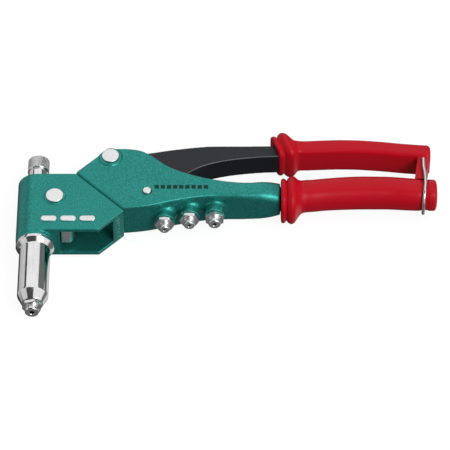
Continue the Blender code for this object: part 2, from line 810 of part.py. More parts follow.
def make_stop_pin():
    radius, top, bottom = STOP_PIN_RADIUS, 13.4 * MM, -13.4 * MM
    profile = [
        (0, top),
        (radius - 0.5 * MM, top),
        (radius, top - 0.5 * MM),
        (radius, bottom + 0.5 * MM),
        (radius - 0.5 * MM, bottom),
        (0, bottom),
    ]
    finish(turned("stop_pin", profile, Matrix.Translation(STOP_PIN), 24, closed=False), ROOT, PIN)


# Fixed grip: x, centre y, half y, half z, corner radius of each outer ring
FIXED_GRIP_RINGS = (
    (153.2, 19.8, 11.2, 11.6, 10.2),
    (153.5, 19.8, 12.8, 13.2, 11.8),
    (154.8, 19.9, 13.6, 13.9, 12.8),
    (156.0, 20.0, 13.0, 13.3, 12.2),
    (156.8, 20.1, 12.2, 12.5, 11.4),
    (157.8, 20.3, 13.6, 13.8, 12.8),
    (160.0, 20.5, 14.6, 14.7, 13.5),
    (162.0, 20.9, 13.9, 14.1, 13.0),
    (163.3, 21.4, 12.4, 12.7, 11.8),
    (164.6, 22.1, 11.1, 11.5, 10.6),
    (166.6, 23.2, 10.0, 10.4, 9.6),
    (169.0, 23.8, 9.8, 10.2, 9.3),
    (173.0, 24.1, 9.7, 10.2, 9.3),
    (181.0, 25.1, 9.7, 10.2, 9.3),
    (190.5, 25.9, 9.8, 10.3, 9.3),
    (205.0, 26.5, 9.9, 10.4, 9.4),
    (219.5, 26.4, 9.9, 10.3, 9.4),
    (232.0, 25.5, 9.8, 10.1, 9.2),
    (240.5, 24.9, 9.7, 9.8, 9.1),
    (242.2, 24.9, 9.3, 9.4, 8.8),
    (245.4, 24.8, 9.3, 9.4, 8.8),
    (246.6, 24.7, 9.6, 9.8, 9.1),
    (249.6, 24.6, 9.4, 9.6, 8.6),
    (250.8, 24.6, 8.4, 8.7, 7.6),
    (251.4, 24.6, 6.6, 6.9, 5.8),
)

# Moving grip: centre x, centre y, half y, half z, corner radius, backward slant in degrees
LEVER_GRIP_RINGS = (
    (149.7, 57.5, 8.4, 11.6, 6.0, 19),
    (150.1, 57.5, 9.3, 12.5, 6.8, 19),
    (151.3, 57.7, 9.6, 12.8, 7.0, 19),
    (152.4, 57.8, 9.2, 12.4, 6.8, 19),
    (153.4, 58.0, 8.7, 11.9, 6.4, 19),
    (154.7, 58.3, 9.7, 13.2, 6.2, 19),
    (156.6, 58.5, 10.215, 14.0, 6.0, 18),
    (158.4, 58.5, 10.0, 13.7, 5.8, 17),
    (160.0, 58.4, 9.0, 12.8, 5.2, 17),
    (161.6, 58.2, 7.3, 11.6, 4.3, 17),
    (163.2, 58.0, 6.0, 10.5, 3.4, 16),
    (165.6, 57.9, 5.5, 10.0, 3.0, 10),
    (169.0, 57.8, 5.3, 9.9, 2.9, 0),
    (180.0, 58.3, 5.3, 9.9, 2.8, 0),
    (191.2, 58.7, 5.3, 9.9, 2.8, 0),
    (201.0, 58.5, 5.3, 9.9, 2.8, 0),
    (210.6, 57.8, 5.3, 9.9, 2.8, 0),
    (220.5, 56.8, 5.3, 9.9, 2.8, 0),
    (229.9, 55.6, 5.3, 9.9, 2.8, 0),
    (238.0, 54.8, 5.3, 9.9, 2.8, 0),
    (245.4, 54.2, 5.3, 9.9, 2.8, 0),
    (247.3, 54.1, 4.9, 9.5, 2.8, 0),
    (248.2, 54.0, 4.0, 8.6, 2.6, 0),
)

# Core of the moving handle inside its grip: x, centre y
LEVER_CORE = (
    (148.0, 55.0),
    (155.0, 55.9),
    (165.0, 57.5),
    (180.0, 58.3),
    (191.2, 58.7),
    (210.6, 57.8),
    (229.9, 55.7),
    (238.5, 54.9),
)
CORE_HALF_Y = 2.6 * MM
CORE_HALF_Z = 6.2 * MM

# The latch lug straddles the end of the fixed grip, clear of it all round
FIXED_GRIP_END_Y = 24.9 * MM
SADDLE_RADIUS = 10.6 * MM


def grip_ring(x, y, half_y, half_z, radius, slant=0.0, per_corner=4):
    """A rounded ring square to the handle, or leaning back by slant degrees."""
    lean = math.radians(slant)
    pairs = rounded_ring(half_y * MM, half_z * MM, radius * MM, per_corner)
    return [(x * MM - a * math.sin(lean), y * MM + a * math.cos(lean), b) for a, b in pairs]


def make_fixed_grip():
    """Dipped grip: the outer skin, then the pocket that the casting's handle fills."""
    rings = [grip_ring(*row) for row in FIXED_GRIP_RINGS]
    allowance = GAP / MM
    pocket = []
    for x in (153.2, 171.0, 190.5, 219.5, 238.7, 246.9):
        low, high, half_z, radius, _ = between(BODY_SECTIONS, max(x, 152.9) * MM)
        half_y = (high - low) / 2 / MM + allowance
        middle = (low + high) / 2 / MM
        pocket.append(grip_ring(x, middle, half_y, half_z / MM + allowance, radius / MM + allowance))
    skin = [pocket[-1]] + pocket[-2::-1] + rings
    finish(loft("fixed_grip", skin), ROOT, RED)


def lever_core_ring(x, extra=0.0):
    y = between(LEVER_CORE, x)[0]
    half_y, half_z = CORE_HALF_Y / MM + extra, CORE_HALF_Z / MM + extra
    return grip_ring(x, y, half_y, half_z, 1.6 + extra)


def lever_mouth_ring(x, y):
    """The pocket's mouth around the full section of the handle."""
    allowance = GAP / MM
    return grip_ring(x, y, 4.45 + allowance, LEVER_HALF_Z / MM + allowance, allowance)


def make_lever_grip():
    rings = [grip_ring(*row) for row in LEVER_GRIP_RINGS]
    allowance = GAP / MM
    pocket = [lever_core_ring(x, allowance) for x in (156.2, 165.0, 180.0, 191.2, 210.6, 229.9, 238.9)]
    mouth = [slanted_mouth(), lever_mouth_ring(156.0, 54.95)]
    skin = pocket[::-1] + mouth[::-1] + rings
    grip = loft("lever_grip", skin)
    lug = [
        (240.4 * MM, 51.5 * MM),
        (237.4 * MM, 30.5 * MM),
        (244.6 * MM, 30.5 * MM),
        (247.7 * MM, 51.5 * MM),
    ]
    join(grip, plate("latch_lug", lug, -8.6 * MM, 8.6 * MM))
    up = Vector((0, 0, REACH))
    hole = WIRE_RADIUS + GAP
    saddle_low = Vector((230 * MM, FIXED_GRIP_END_Y, 0))
    saddle_high = Vector((255 * MM, FIXED_GRIP_END_Y, 0))
    cut(
        grip,
        cylinder("latch_bore", hole, LATCH_PIVOT - up, LATCH_PIVOT + up, 16),
        cylinder("latch_saddle", SADDLE_RADIUS, saddle_low, saddle_high, 48),
    )
    finish(grip, HANDLE_AXIS, RED)


def slanted_mouth():
    ring = lever_mouth_ring(0, 54.95)
    lean = math.tan(math.radians(19))
    first_x, first_y = LEVER_GRIP_RINGS[0][0] * MM, LEVER_GRIP_RINGS[0][1] * MM
    return [(first_x - (y - first_y) * lean, y, z) for _, y, z in ring]


# --- moving handle --------------------------------------------------------------------------


def lever_outline():
    """The handle from its eye and cam cheek out to the grip."""
    eye = arc((MAIN_PIVOT.x, MAIN_PIVOT.y), 6.0 * MM, 80, 215, 9)
    cheek = arc((ROLLER.x, ROLLER.y), 4.3 * MM, 190, 300, 7)
    belly = ((61.5, 25.6), (66.0, 22.6), (70.5, 21.4), (77.0, 23.0), (86.0, 28.6))
    front = ((95.5, 37.0), (102.0, 41.2), (108.3, 44.0), (118.0, 46.7), (127.6, 48.4), (142.2, 50.0))
    end = ((155.6, 50.6), (155.6, 59.3))
    back = ((127.6, 59.2), (117.0, 59.2), (108.3, 59.0), (97.7, 57.9), (83.0, 55.7), (70.0, 53.2))
    run = belly + front + end + back + ((58.0, 51.8),)
    return eye + cheek + [(x * MM, y * MM) for x, y in run]


def make_lever_handle():
    lever = plate("lever_handle", lever_outline(), -LEVER_HALF_Z, LEVER_HALF_Z)
    stations = (152.0, 156.2, 165.0, 180.0, 191.2, 210.6, 229.9, 238.5)
    join(lever, loft("lever_core", [lever_core_ring(x) for x in stations]))
    up = Vector((0, 0, REACH))
    slot = arc((ROLLER.x, ROLLER.y), ROLLER_RADIUS + 2 * GAP, 0, 135, 8)
    slot += [(40 * MM, 26 * MM), (53 * MM, 18 * MM)]
    cut(
        lever,
        plate("roller_slot", slot, -4.0 * MM, 4.0 * MM),
        cylinder("lever_eye_bore", PIN_HOLE, MAIN_PIVOT - up, MAIN_PIVOT + up, 28),
        cylinder("roller_pin_bore", ROLLER_PIN_RADIUS + GAP, ROLLER - up, ROLLER + up, 20),
    )
    finish(lever, HANDLE_AXIS, BLACK)


def make_roller():
    half, end = 3.6 * MM, 7.7 * MM
    bore, radius = ROLLER_PIN_RADIUS + GAP, ROLLER_PIN_RADIUS
    make_ring("cam_roller", ROLLER, bore, ROLLER_RADIUS, -half, half, ROLLER_AXIS, STEEL, 28)
    profile = [(0, end), (radius, end), (radius, -end), (0, -end)]
    pin = turned("roller_pin", profile, Matrix.Translation(ROLLER), 20, closed=False)
    finish(pin, HANDLE_AXIS, STEEL)


def make_latch():
    """A wire bail: its ends turn in the lug, its bow passes round the fixed grip."""
    half, bend, grip_y = BAIL_HALF_Z, 1.6 * MM, 24.8 * MM
    inner_end = 5.4 * MM
    side = [(LATCH_PIVOT.x, LATCH_PIVOT.y, inner_end)]
    for i in range(4):
        angle = PI / 2 * i / 3
        y = LATCH_PIVOT.y - bend * (1 - math.cos(angle))
        z = half - bend + bend * math.sin(angle)
        side.append((LATCH_PIVOT.x, y, z))
    side += [
        (243.3 * MM, 38.5 * MM, half),
        (243.9 * MM, 34.0 * MM, half),
        (244.0 * MM, 29.0 * MM, half),
    ]
    bow = []
    turns = 14
    for i in range(turns + 1):
        angle = PI * i / turns
        drop = math.sin(angle)
        x = 244.0 * MM - 1.5 * MM * drop
        bow.append((x, grip_y - (half + 0.6 * MM) * drop, half * math.cos(angle)))
    other = [(x, y, -z) for x, y, z in reversed(side)]
    finish(wire("latch_bail", side + bow + other, WIRE_RADIUS, 2), LATCH_AXIS, CHROME)


# --- assembly -------------------------------------------------------------------------------


def build():
    make_body_casting()
    upper, lower = BODY_HALF_Z + PIVOT_BOSS_RISE, -BODY_HALF_Z - LOWER_BOSS_RISE
    make_pivot_pin("main_pivot", MAIN_PIVOT, 5.4 * MM, upper + GAP, 14.6 * MM, lower, ROOT)
    make_ring("pivot_washer_upper", MAIN_PIVOT, PIN_HOLE, 6.2 * MM, 8.2 * MM, 9.6 * MM, ROOT, STEEL)
    make_ring("pivot_washer_lower", MAIN_PIVOT, PIN_HOLE, 6.2 * MM, -9.6 * MM, -8.2 * MM, ROOT, STEEL)
    make_stop_pin()
    make_fixed_grip()
    for name, x, hex_front, tip_radius, hole_radius, turn in SPARES:
        make_nosepiece(name, x, hex_front, tip_radius, hole_radius, turn, ROOT)
    make_swivel()
    make_push_rod()
    make_head_casting()
    boss = HEAD_HALF_Z + LOWER_BOSS_RISE
    make_pivot_pin("claw_pivot", CLAW_PIN, 5.5 * MM, boss + GAP, 14.0 * MM, -boss, HEAD_AXIS)
    make_ring("claw_spacer_upper", CLAW_PIN, PIN_HOLE, 6.2 * MM, 7.6 * MM, 9.3 * MM, HEAD_AXIS, STEEL)
    make_ring("claw_spacer_lower", CLAW_PIN, PIN_HOLE, 6.2 * MM, -9.3 * MM, -7.6 * MM, HEAD_AXIS, STEEL)
    make_sleeve()
    make_nosepiece("fitted_nosepiece", 0.0, NOSE_HEX_FRONT_Y, 4.4 * MM, 1.6 * MM, PI / 12, HEAD_AXIS)
    make_end_cap()
    make_claw_lever()
    make_draw_tube()
    make_jaws()
    make_lever_handle()
    make_lever_grip()
    make_roller()
    make_latch()


build()
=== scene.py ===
"""Looks of a swivel-head hand riveter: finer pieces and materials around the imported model.

Shapes are made in millimetres in the tool's own frame: the nose axis is x = z = 0 and points to -y,
the handles run to +x, and z = 0 is the mid-plane. finish_piece() puts each one in the row frame.
"""

import json
import math

import bmesh
import bpy
import numpy as np
from mathutils import Matrix, Vector


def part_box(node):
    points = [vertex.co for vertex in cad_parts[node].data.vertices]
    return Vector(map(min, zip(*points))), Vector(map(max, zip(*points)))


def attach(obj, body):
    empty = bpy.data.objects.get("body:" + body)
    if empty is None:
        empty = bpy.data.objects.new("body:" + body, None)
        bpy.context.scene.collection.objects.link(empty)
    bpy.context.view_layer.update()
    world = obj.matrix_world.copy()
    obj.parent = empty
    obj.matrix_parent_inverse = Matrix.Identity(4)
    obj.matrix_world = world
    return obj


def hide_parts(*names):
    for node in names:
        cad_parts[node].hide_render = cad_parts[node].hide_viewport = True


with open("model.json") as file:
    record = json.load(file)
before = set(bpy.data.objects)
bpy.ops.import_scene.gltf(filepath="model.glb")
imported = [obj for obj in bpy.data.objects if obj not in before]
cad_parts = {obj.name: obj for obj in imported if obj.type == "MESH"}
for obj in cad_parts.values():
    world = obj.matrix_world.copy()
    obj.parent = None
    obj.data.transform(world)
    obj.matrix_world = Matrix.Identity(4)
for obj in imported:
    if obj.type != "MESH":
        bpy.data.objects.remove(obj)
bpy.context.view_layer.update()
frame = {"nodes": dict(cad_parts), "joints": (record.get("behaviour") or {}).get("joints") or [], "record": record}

MM = 0.001
PI = math.pi
REACH = 60.0

# The sleeve's box gives the nose axis, and its inner end is at y = -5.3 mm
SLEEVE_LOW, SLEEVE_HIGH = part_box("nose_sleeve")
SLEEVE_INNER_Y = -5.3
ORIGIN = Vector(
    (
        (SLEEVE_LOW.x + SLEEVE_HIGH.x) / 2,
        SLEEVE_HIGH.y - SLEEVE_INNER_Y * MM,
        (SLEEVE_LOW.z + SLEEVE_HIGH.z) / 2,
    )
)
TO_ROW = Matrix.Translation(ORIGIN) @ Matrix.Scale(MM, 4)
TO_Y = Matrix.Rotation(-PI / 2, 4, "X")


def joint_place(name):
    """A joint's place in the tool's own frame, in millimetres."""
    joint = next(j for j in frame["joints"] if j["name"] == name)
    return (Vector(joint["pos_m"]) - ORIGIN) / MM


def middle(node):
    """The middle of a CAD node's box in the tool's own frame, in millimetres."""
    low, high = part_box(node)
    return ((low + high) / 2 - ORIGIN) / MM


MAIN_PIVOT = joint_place("handle_hinge")
CLAW_PIN = joint_place("claw_hinge")
SWIVEL = joint_place("head_swivel")
ROLLER = joint_place("roller_spin")
LATCH_PIVOT = joint_place("latch_swing")
STOP_PIN = middle("stop_pin")

# Sizes shared by several pieces. An S is a distance along the swivel axis from the head's joint face.
HEAD_RADIUS = 12.25
HEAD_BACK_Y = 32.0
HEAD_CHAMFER = 53.6
HEAD_BOSS_RADIUS = 6.6
HEAD_CAVITY_HALF_Z = 9.6
BODY_HALF_Z = 12.5
BODY_BOSS_RADIUS = 7.2
BODY_CAVITY_HALF_Z = 9.9
BODY_BACK_EDGE = -8.6
BODY_FACE_S = 0.57
SPIGOT_BORE = 6.8
LEVER_HALF_Z = 7.85
PIN_HOLE = 4.3
HEX_ACROSS_FLATS = 11.2
HEX_LENGTH = 2.4
CLAW_HALF_Z = 5.5
SADDLE_RADIUS = 10.6
FIXED_GRIP_END_Y = 24.9


# --- meshes ---------------------------------------------------------------------------------


def new_object(name, bm):
    bmesh.ops.recalc_face_normals(bm, faces=bm.faces)
    mesh = bpy.data.meshes.new(name)
    bm.to_mesh(mesh)
    bm.free()
    obj = bpy.data.objects.new(name, mesh)
    bpy.context.scene.collection.objects.link(obj)
    return obj


def skin(name, rings, closed=False):
    """A skin over rings of equal counts. A ring of one point closes an end in a fan."""
    bm = bmesh.new()
    made = [[bm.verts.new(point) for point in ring] for ring in rings]
    spans = list(zip(made, made[1:]))
    if closed:
        spans.append((made[-1], made[0]))
    for a, b in spans:
        count = max(len(a), len(b))
        for j in range(count):
            k = (j + 1) % count
            corners = [a[j % len(a)], a[k % len(a)], b[k % len(b)], b[j % len(b)]]
            bm.faces.new(list(dict.fromkeys(corners)))
    if not closed:
        for ring in (made[0], made[-1]):
            if len(ring) > 1:
                bm.faces.new(ring)
    return new_object(name, bm)


def rounded(profile, count=4):
    """Rounds the corners of an outline of (a, b, corner radius) or (a, b) points."""
    points = []
    total = len(profile)
    for i, (a, b, *radius) in enumerate(profile):
        corner = Vector((a, b))
        if not radius:
            points.append((a, b))
            continue
        before = Vector(profile[i - 1][:2]) - corner
        after = Vector(profile[(i + 1) % total][:2]) - corner
        reach = min(radius[0], before.length * 0.49, after.length * 0.49)
        start, end = corner + before.normalized() * reach, corner + after.normalized() * reach
        for step in range(count + 1):
            t = step / count
            point = start * (1 - t) ** 2 + corner * 2 * t * (1 - t) + end * t**2
            points.append((point.x, point.y))
    return points


def turned(name, profile, place, steps=96, closed=False):
    """A profile of (radius, height) turned about its axis, which the matrix place sets down."""
    rings = []
    for radius, height in profile:
        count = steps if radius > 1e-6 else 1
        turn = 2 * PI / steps
        spoke = [(radius * math.cos(i * turn), radius * math.sin(i * turn), height) for i in range(count)]
        rings.append([place @ Vector(point) for point in spoke])
    return skin(name, rings, closed)


def rod(name, radius, start, end, steps=64):
    """A closed cylinder from one point to another, to join or cut with."""
    start, end = Vector(start), Vector(end)
    turn = Vector((0, 0, 1)).rotation_difference(end - start).to_matrix().to_4x4()
    length = (end - start).length
    return turned(name, [(radius, 0), (radius, length)], Matrix.Translation(start) @ turn, steps)


def slab(name, outline, low, high):
    """A flat outline raised from z = low to z = high."""
    return skin(name, [[(x, y, low) for x, y in outline], [(x, y, high) for x, y in outline]])


def arc(center, radius, start, end, count):
    """Points on an arc, angles in degrees."""
    angles = [math.radians(start + (end - start) * i / count) for i in range(count + 1)]
    return [(center[0] + radius * math.cos(a), center[1] + radius * math.sin(a)) for a in angles]


def capsule(first, first_radius, second, second_radius, count=24):
    """The outline around two circles and the two straight runs that touch both."""
    dx, dy = second[0] - first[0], second[1] - first[1]
    along = math.degrees(math.atan2(dy, dx))
    lean = math.degrees(math.acos((first_radius - second_radius) / math.hypot(dx, dy)))
    tail = arc(first, first_radius, along + lean, along + 360 - lean, count)
    return tail + arc(second, second_radius, along - lean, along + lean, count)


def smooth_rows(rows, per_span):
    """Rows of numbers made denser along a smooth curve that never overshoots them."""
    rows = np.array(rows, float)
    step = np.diff(rows, axis=0)
    slope = np.zeros_like(rows)
    slope[0], slope[-1] = step[0], step[-1]
    before, after = step[:-1], step[1:]
    same = before * after > 0
    total = np.where(same, before + after, 1.0)
    slope[1:-1] = np.where(same, 2 * before * after / total, 0.0)
    out = []
    for i in range(len(rows) - 1):
        for k in range(per_span):
            t = k / per_span
            out.append(
                rows[i] * (2 * t**3 - 3 * t**2 + 1)
                + slope[i] * (t**3 - 2 * t**2 + t)
                + rows[i + 1] * (3 * t**2 - 2 * t**3)
                + slope[i + 1] * (t**3 - t**2)
            )
    out.append(rows[-1])
    return [list(map(float, row)) for row in out]


def corner_ring(half_a, half_b, radii, per_corner):
    """A rectangle with a radius for each corner, as (a, b) pairs, counter-clockwise from +a +b."""
    pairs = []
    for (sign_a, sign_b, start), radius in zip(((1, 1, 0), (-1, 1, 90), (-1, -1, 180), (1, -1, 270)), radii):
        center = (sign_a * (half_a - radius), sign_b * (half_b - radius))
        pairs += arc(center, radius, start, start + 90, per_corner)
    return pairs


def bake(obj):
    """Replaces the object's mesh by what its modifiers make of it."""
    bpy.context.view_layer.update()
    shape = obj.evaluated_get(bpy.context.evaluated_depsgraph_get())
    mesh = bpy.data.meshes.new_from_object(shape)
    obj.modifiers.clear()
    obj.data = mesh
    return obj


def soften(obj, width, segments=3):
    """Bevels the edges sharper than 35 degrees."""
    bevel = obj.modifiers.new("bevel", "BEVEL")
    bevel.width = width
    bevel.segments = segments
    bevel.limit_method = "ANGLE"
    bevel.angle_limit = math.radians(35)
    return bake(obj)


def boolean(obj, operation, tools):
    """Applies each tool to the object in turn and removes the tool."""
    for tool in tools:
        modifier = obj.modifiers.new(tool.name, "BOOLEAN")
        modifier.operation = operation
        modifier.object = tool
        bake(obj)
        bpy.data.objects.remove(tool)
    return obj


def cut(obj, *tools):
    return boolean(obj, "DIFFERENCE", tools)


def join(obj, *tools):
    return boolean(obj, "UNION", tools)


def cast(obj, voxel, passes, keep):
    """Softens every edge the way a casting or a paint coat does: a fine remesh, smoothed and thinned."""
    remesh = obj.modifiers.new("remesh", "REMESH")
    remesh.mode = "VOXEL"
    remesh.voxel_size = voxel
    smooth = obj.modifiers.new("smooth", "SMOOTH")
    smooth.factor = 0.5
    smooth.iterations = passes
    thin = obj.modifiers.new("thin", "DECIMATE")
    thin.ratio = keep
    return bake(obj)


def finish_piece(obj, body, look, nodes=(), sharp=35):
    """Puts a piece in the row frame, on its body, with its material, in place of its CAD nodes."""
    obj.data.transform(TO_ROW)
    obj.data.materials.clear()
    obj.data.materials.append(look)
    obj.data.shade_smooth()
    if sharp:
        obj.data.set_sharp_from_angle(angle=math.radians(sharp))
    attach(obj, body)
    if nodes:
        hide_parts(*nodes)


# --- materials ------------------------------------------------------------------------------


def new_material(name, **sockets):
    """A Principled material; keywords name its sockets, with _ for a space."""
    made = bpy.data.materials.new(name)
    made.use_nodes = True
    shader = made.node_tree.nodes["Principled BSDF"]
    for key, value in sockets.items():
        shader.inputs[key.replace("_", " ")].default_value = value
    return made


def add_node(made, kind, **sockets):
    node = made.node_tree.nodes.new(kind)
    for key, value in sockets.items():
        node.inputs[key].default_value = value
    return node


def link(made, source, socket, target, into):
    made.node_tree.links.new(source.outputs[socket], target.inputs[into])


def place_node(made, stretch=(1, 1, 1)):
    """The piece's own coordinates, in metres, stretched for grain that runs one way."""
    coords = add_node(made, "ShaderNodeTexCoord")
    mapping = add_node(made, "ShaderNodeMapping", Scale=stretch)
    link(made, coords, "Object", mapping, "Vector")
    return mapping


def noise(made, scale, detail=2.0, stretch=(1, 1, 1), roughness=0.5):
    texture = add_node(made, "ShaderNodeTexNoise", Scale=scale, Detail=detail, Roughness=roughness)
    link(made, place_node(made, stretch), "Vector", texture, "Vector")
    return texture


def ramp(made, source, socket, stops):
    """A colour ramp over (position, colour) stops."""
    node = add_node(made, "ShaderNodeValToRGB")
    elements = node.color_ramp.elements
    while len(elements) < len(stops):
        elements.new(0.5)
    for element, (position, color) in zip(elements, stops):
        element.position = position
        element.color = (*color, 1)
    link(made, source, socket, node, "Fac")
    return node


def color_output(node):
    """A node's colour socket: a colour Mix node has its own after its number and vector sockets."""
    return node.outputs[2 if node.bl_idname == "ShaderNodeMix" else 0]


def mix(made, amount, first, second, blend="MIX"):
    """Mixes two colours, or colour nodes, by a node's value, or fully where amount is None."""
    node = made.node_tree.nodes.new("ShaderNodeMix")
    node.data_type = "RGBA"
    node.blend_type = blend
    node.inputs[0].default_value = 1.0
    links = made.node_tree.links
    if amount:
        links.new(amount.outputs[0], node.inputs[0])
    for source, target in ((first, node.inputs[6]), (second, node.inputs[7])):
        if isinstance(source, tuple):
            target.default_value = (*source, 1)
        else:
            links.new(color_output(source), target)
    return node


def to_color(made, node):
    shader = made.node_tree.nodes["Principled BSDF"]
    made.node_tree.links.new(color_output(node), shader.inputs["Base Color"])


def spread(made, source, low, high):
    """Drives the roughness from a texture, over the range low to high."""
    node = add_node(made, "ShaderNodeMapRange")
    node.inputs["From Min"].default_value = 0.3
    node.inputs["From Max"].default_value = 0.7
    node.inputs["To Min"].default_value = low
    node.inputs["To Max"].default_value = high
    made.node_tree.links.new(source.outputs[0], node.inputs["Value"])
    link(made, node, "Result", made.node_tree.nodes["Principled BSDF"], "Roughness")


def bump(made, *layers):
    """Bump from (texture, strength, depth in metres) layers, one on another."""
    last = None
    for texture, strength, depth in layers:
        node = add_node(made, "ShaderNodeBump", Strength=strength, Distance=depth)
        made.node_tree.links.new(texture.outputs[0], node.inputs["Height"])
        if last:
            link(made, last, "Normal", node, "Normal")
        last = node
    link(made, last, "Normal", made.node_tree.nodes["Principled BSDF"], "Normal")


def edge_highlight_share(made, low, high):
    """1 on sharp outer edges and 0 elsewhere: the mask of a painted edge highlight."""
    geometry = add_node(made, "ShaderNodeNewGeometry")
    return ramp(made, geometry, "Pointiness", [(low, (0, 0, 0)), (high, (1, 1, 1))])


def powder_coat(name, dark, light, edge):
    """Fine-grained powder coat: speckle in colour and relief, and sharp edges painted paler, a painted highlight
    with a little rubbed wear.
    """
    made = new_material(name, Metallic=0.7, Roughness=0.4, Specular_IOR_Level=0.3)
    grain = noise(made, 1150.0, 3.0)
    cloud = noise(made, 60.0)
    speckle = ramp(made, grain, 0, [(0.34, dark), (0.66, light)])
    shade = ramp(made, cloud, 0, [(0.3, (0.92, 0.92, 0.92)), (0.7, (1.0, 1.0, 1.0))])
    painted = mix(made, None, speckle, shade, "MULTIPLY")
    # Sharp edges take the paler edge colour: a painted highlight, with a little rubbed wear
    to_color(made, mix(made, edge_highlight_share(made, 0.52, 0.6), painted, edge))
    spread(made, noise(made, 900.0), 0.34, 0.46)
    bump(made, (grain, 0.4, 0.00008), (noise(made, 2300.0), 0.3, 0.00004))
    return made


def dipped_vinyl(name, color, deep):
    """Glossy dipped PVC: even colour, slow ripples and a faint orange peel."""
    made = new_material(name, Metallic=0.0, Roughness=0.32, Specular_IOR_Level=0.16)
    to_color(made, ramp(made, noise(made, 45.0, 3.0), 0, [(0.3, deep), (0.7, color)]))
    spread(made, noise(made, 120.0, 3.0), 0.28, 0.38)
    bump(made, (noise(made, 60.0), 0.05, 0.0002), (noise(made, 1400.0), 0.1, 0.00003))
    return made


def painted_black(name, color, edge):
    """Satin black paint with a fine grain and sharp edges painted grey, a painted highlight."""
    made = new_material(name, Metallic=0.0, Roughness=0.36, Specular_IOR_Level=0.4)
    lighter = tuple(1.6 * c for c in color)
    base = ramp(made, noise(made, 1300.0, 3.0), 0, [(0.35, color), (0.65, lighter)])
    # Sharp edges take the grey edge colour: a painted highlight
    to_color(made, mix(made, edge_highlight_share(made, 0.52, 0.57), base, edge))
    spread(made, noise(made, 300.0), 0.3, 0.42)
    bump(made, (noise(made, 1600.0, 3.0), 0.25, 0.00005))
    return made


def metal(name, color, rough_low, rough_high, stretch=(1, 1, 1), scale=700.0, relief=0.08):
    """Metal with polishing lines along the axes that stretch leaves long."""
    made = new_material(name, Metallic=1.0, Roughness=rough_low)
    lines = noise(made, scale, 4.0, stretch, 0.6)
    cloud = noise(made, 90.0, 2.0)
    darker = tuple(0.86 * c for c in color)
    tone = ramp(made, lines, 0, [(0.35, darker), (0.65, color)])
    stain = ramp(made, cloud, 0, [(0.3, (0.93, 0.93, 0.93)), (0.65, (1, 1, 1))])
    to_color(made, mix(made, None, tone, stain, "MULTIPLY"))
    spread(made, lines, rough_low, rough_high)
    bump(made, (lines, relief, 0.00003))
    return made


# Paints take a dark colour, a light one and one for the painted highlight on their sharp edges. Metals take a
# colour and a roughness range.
GREEN = powder_coat("green_powder_coat", (0.012, 0.220, 0.190), (0.042, 0.365, 0.320), (0.12, 0.55, 0.49))
RED = dipped_vinyl("red_dipped_vinyl", (0.57, 0.004, 0.016), (0.53, 0.004, 0.014))
BLACK = painted_black("satin_black_paint", (0.004, 0.005, 0.008), (0.30, 0.30, 0.31))
CHROME = metal("polished_nickel", (0.90, 0.90, 0.91), 0.06, 0.14, (1, 0.06, 1), 1500.0)
NOSE_STEEL = metal("nosepiece_nickel", (0.84, 0.84, 0.85), 0.12, 0.24, (1, 1, 1), 1600.0, 0.12)
KNURL_STEEL = metal("knurled_nickel", (0.78, 0.78, 0.79), 0.10, 0.22, (1, 1, 1), 1600.0, 0.12)
SPARE_STEEL = metal("spare_nosepiece_nickel", (0.93, 0.93, 0.94), 0.24, 0.36, (1, 1, 1), 1600.0, 0.12)
SATIN = metal("satin_zinc", (0.95, 0.96, 0.96), 0.36, 0.48, (1, 1, 1), 900.0, 0.1)
STEEL = metal("machined_steel", (0.52, 0.52, 0.53), 0.28, 0.42, (1, 1, 1), 1100.0, 0.12)
WIRE = metal("spring_wire", (0.80, 0.81, 0.82), 0.08, 0.16, (1, 0.05, 1), 1800.0)
DARK_MARK = powder_coat("dark_green_mark", (0.002, 0.018, 0.016), (0.004, 0.030, 0.026), (0.01, 0.05, 0.045))


# --- head -----------------------------------------------------------------------------------

UP = Vector((0, 0, REACH))
DIAGONAL = Vector((1, 1, 0)).normalized()
ACROSS = Vector((1, -1, 0)).normalized()
TO_SWIVEL = Matrix.Translation(SWIVEL) @ Matrix.Rotation(-PI / 4, 4, "Z") @ TO_Y


def raised(point, z):
    """The point moved z along Z."""
    return point + Vector((0, 0, z))


def on_swivel(s):
    """The point at distance s along the swivel axis from the joint face, towards the body."""
    return SWIVEL + DIAGONAL * s


def beyond_swivel(s, way):
    """An outline that covers everything beyond the plane at s, towards way = 1 or -1."""
    base = on_swivel(s)
    left, right = base - ACROSS * REACH, base + ACROSS * REACH
    push = DIAGONAL * way * REACH
    return [tuple(p.xy) for p in (left, right, right + push, left + push)]


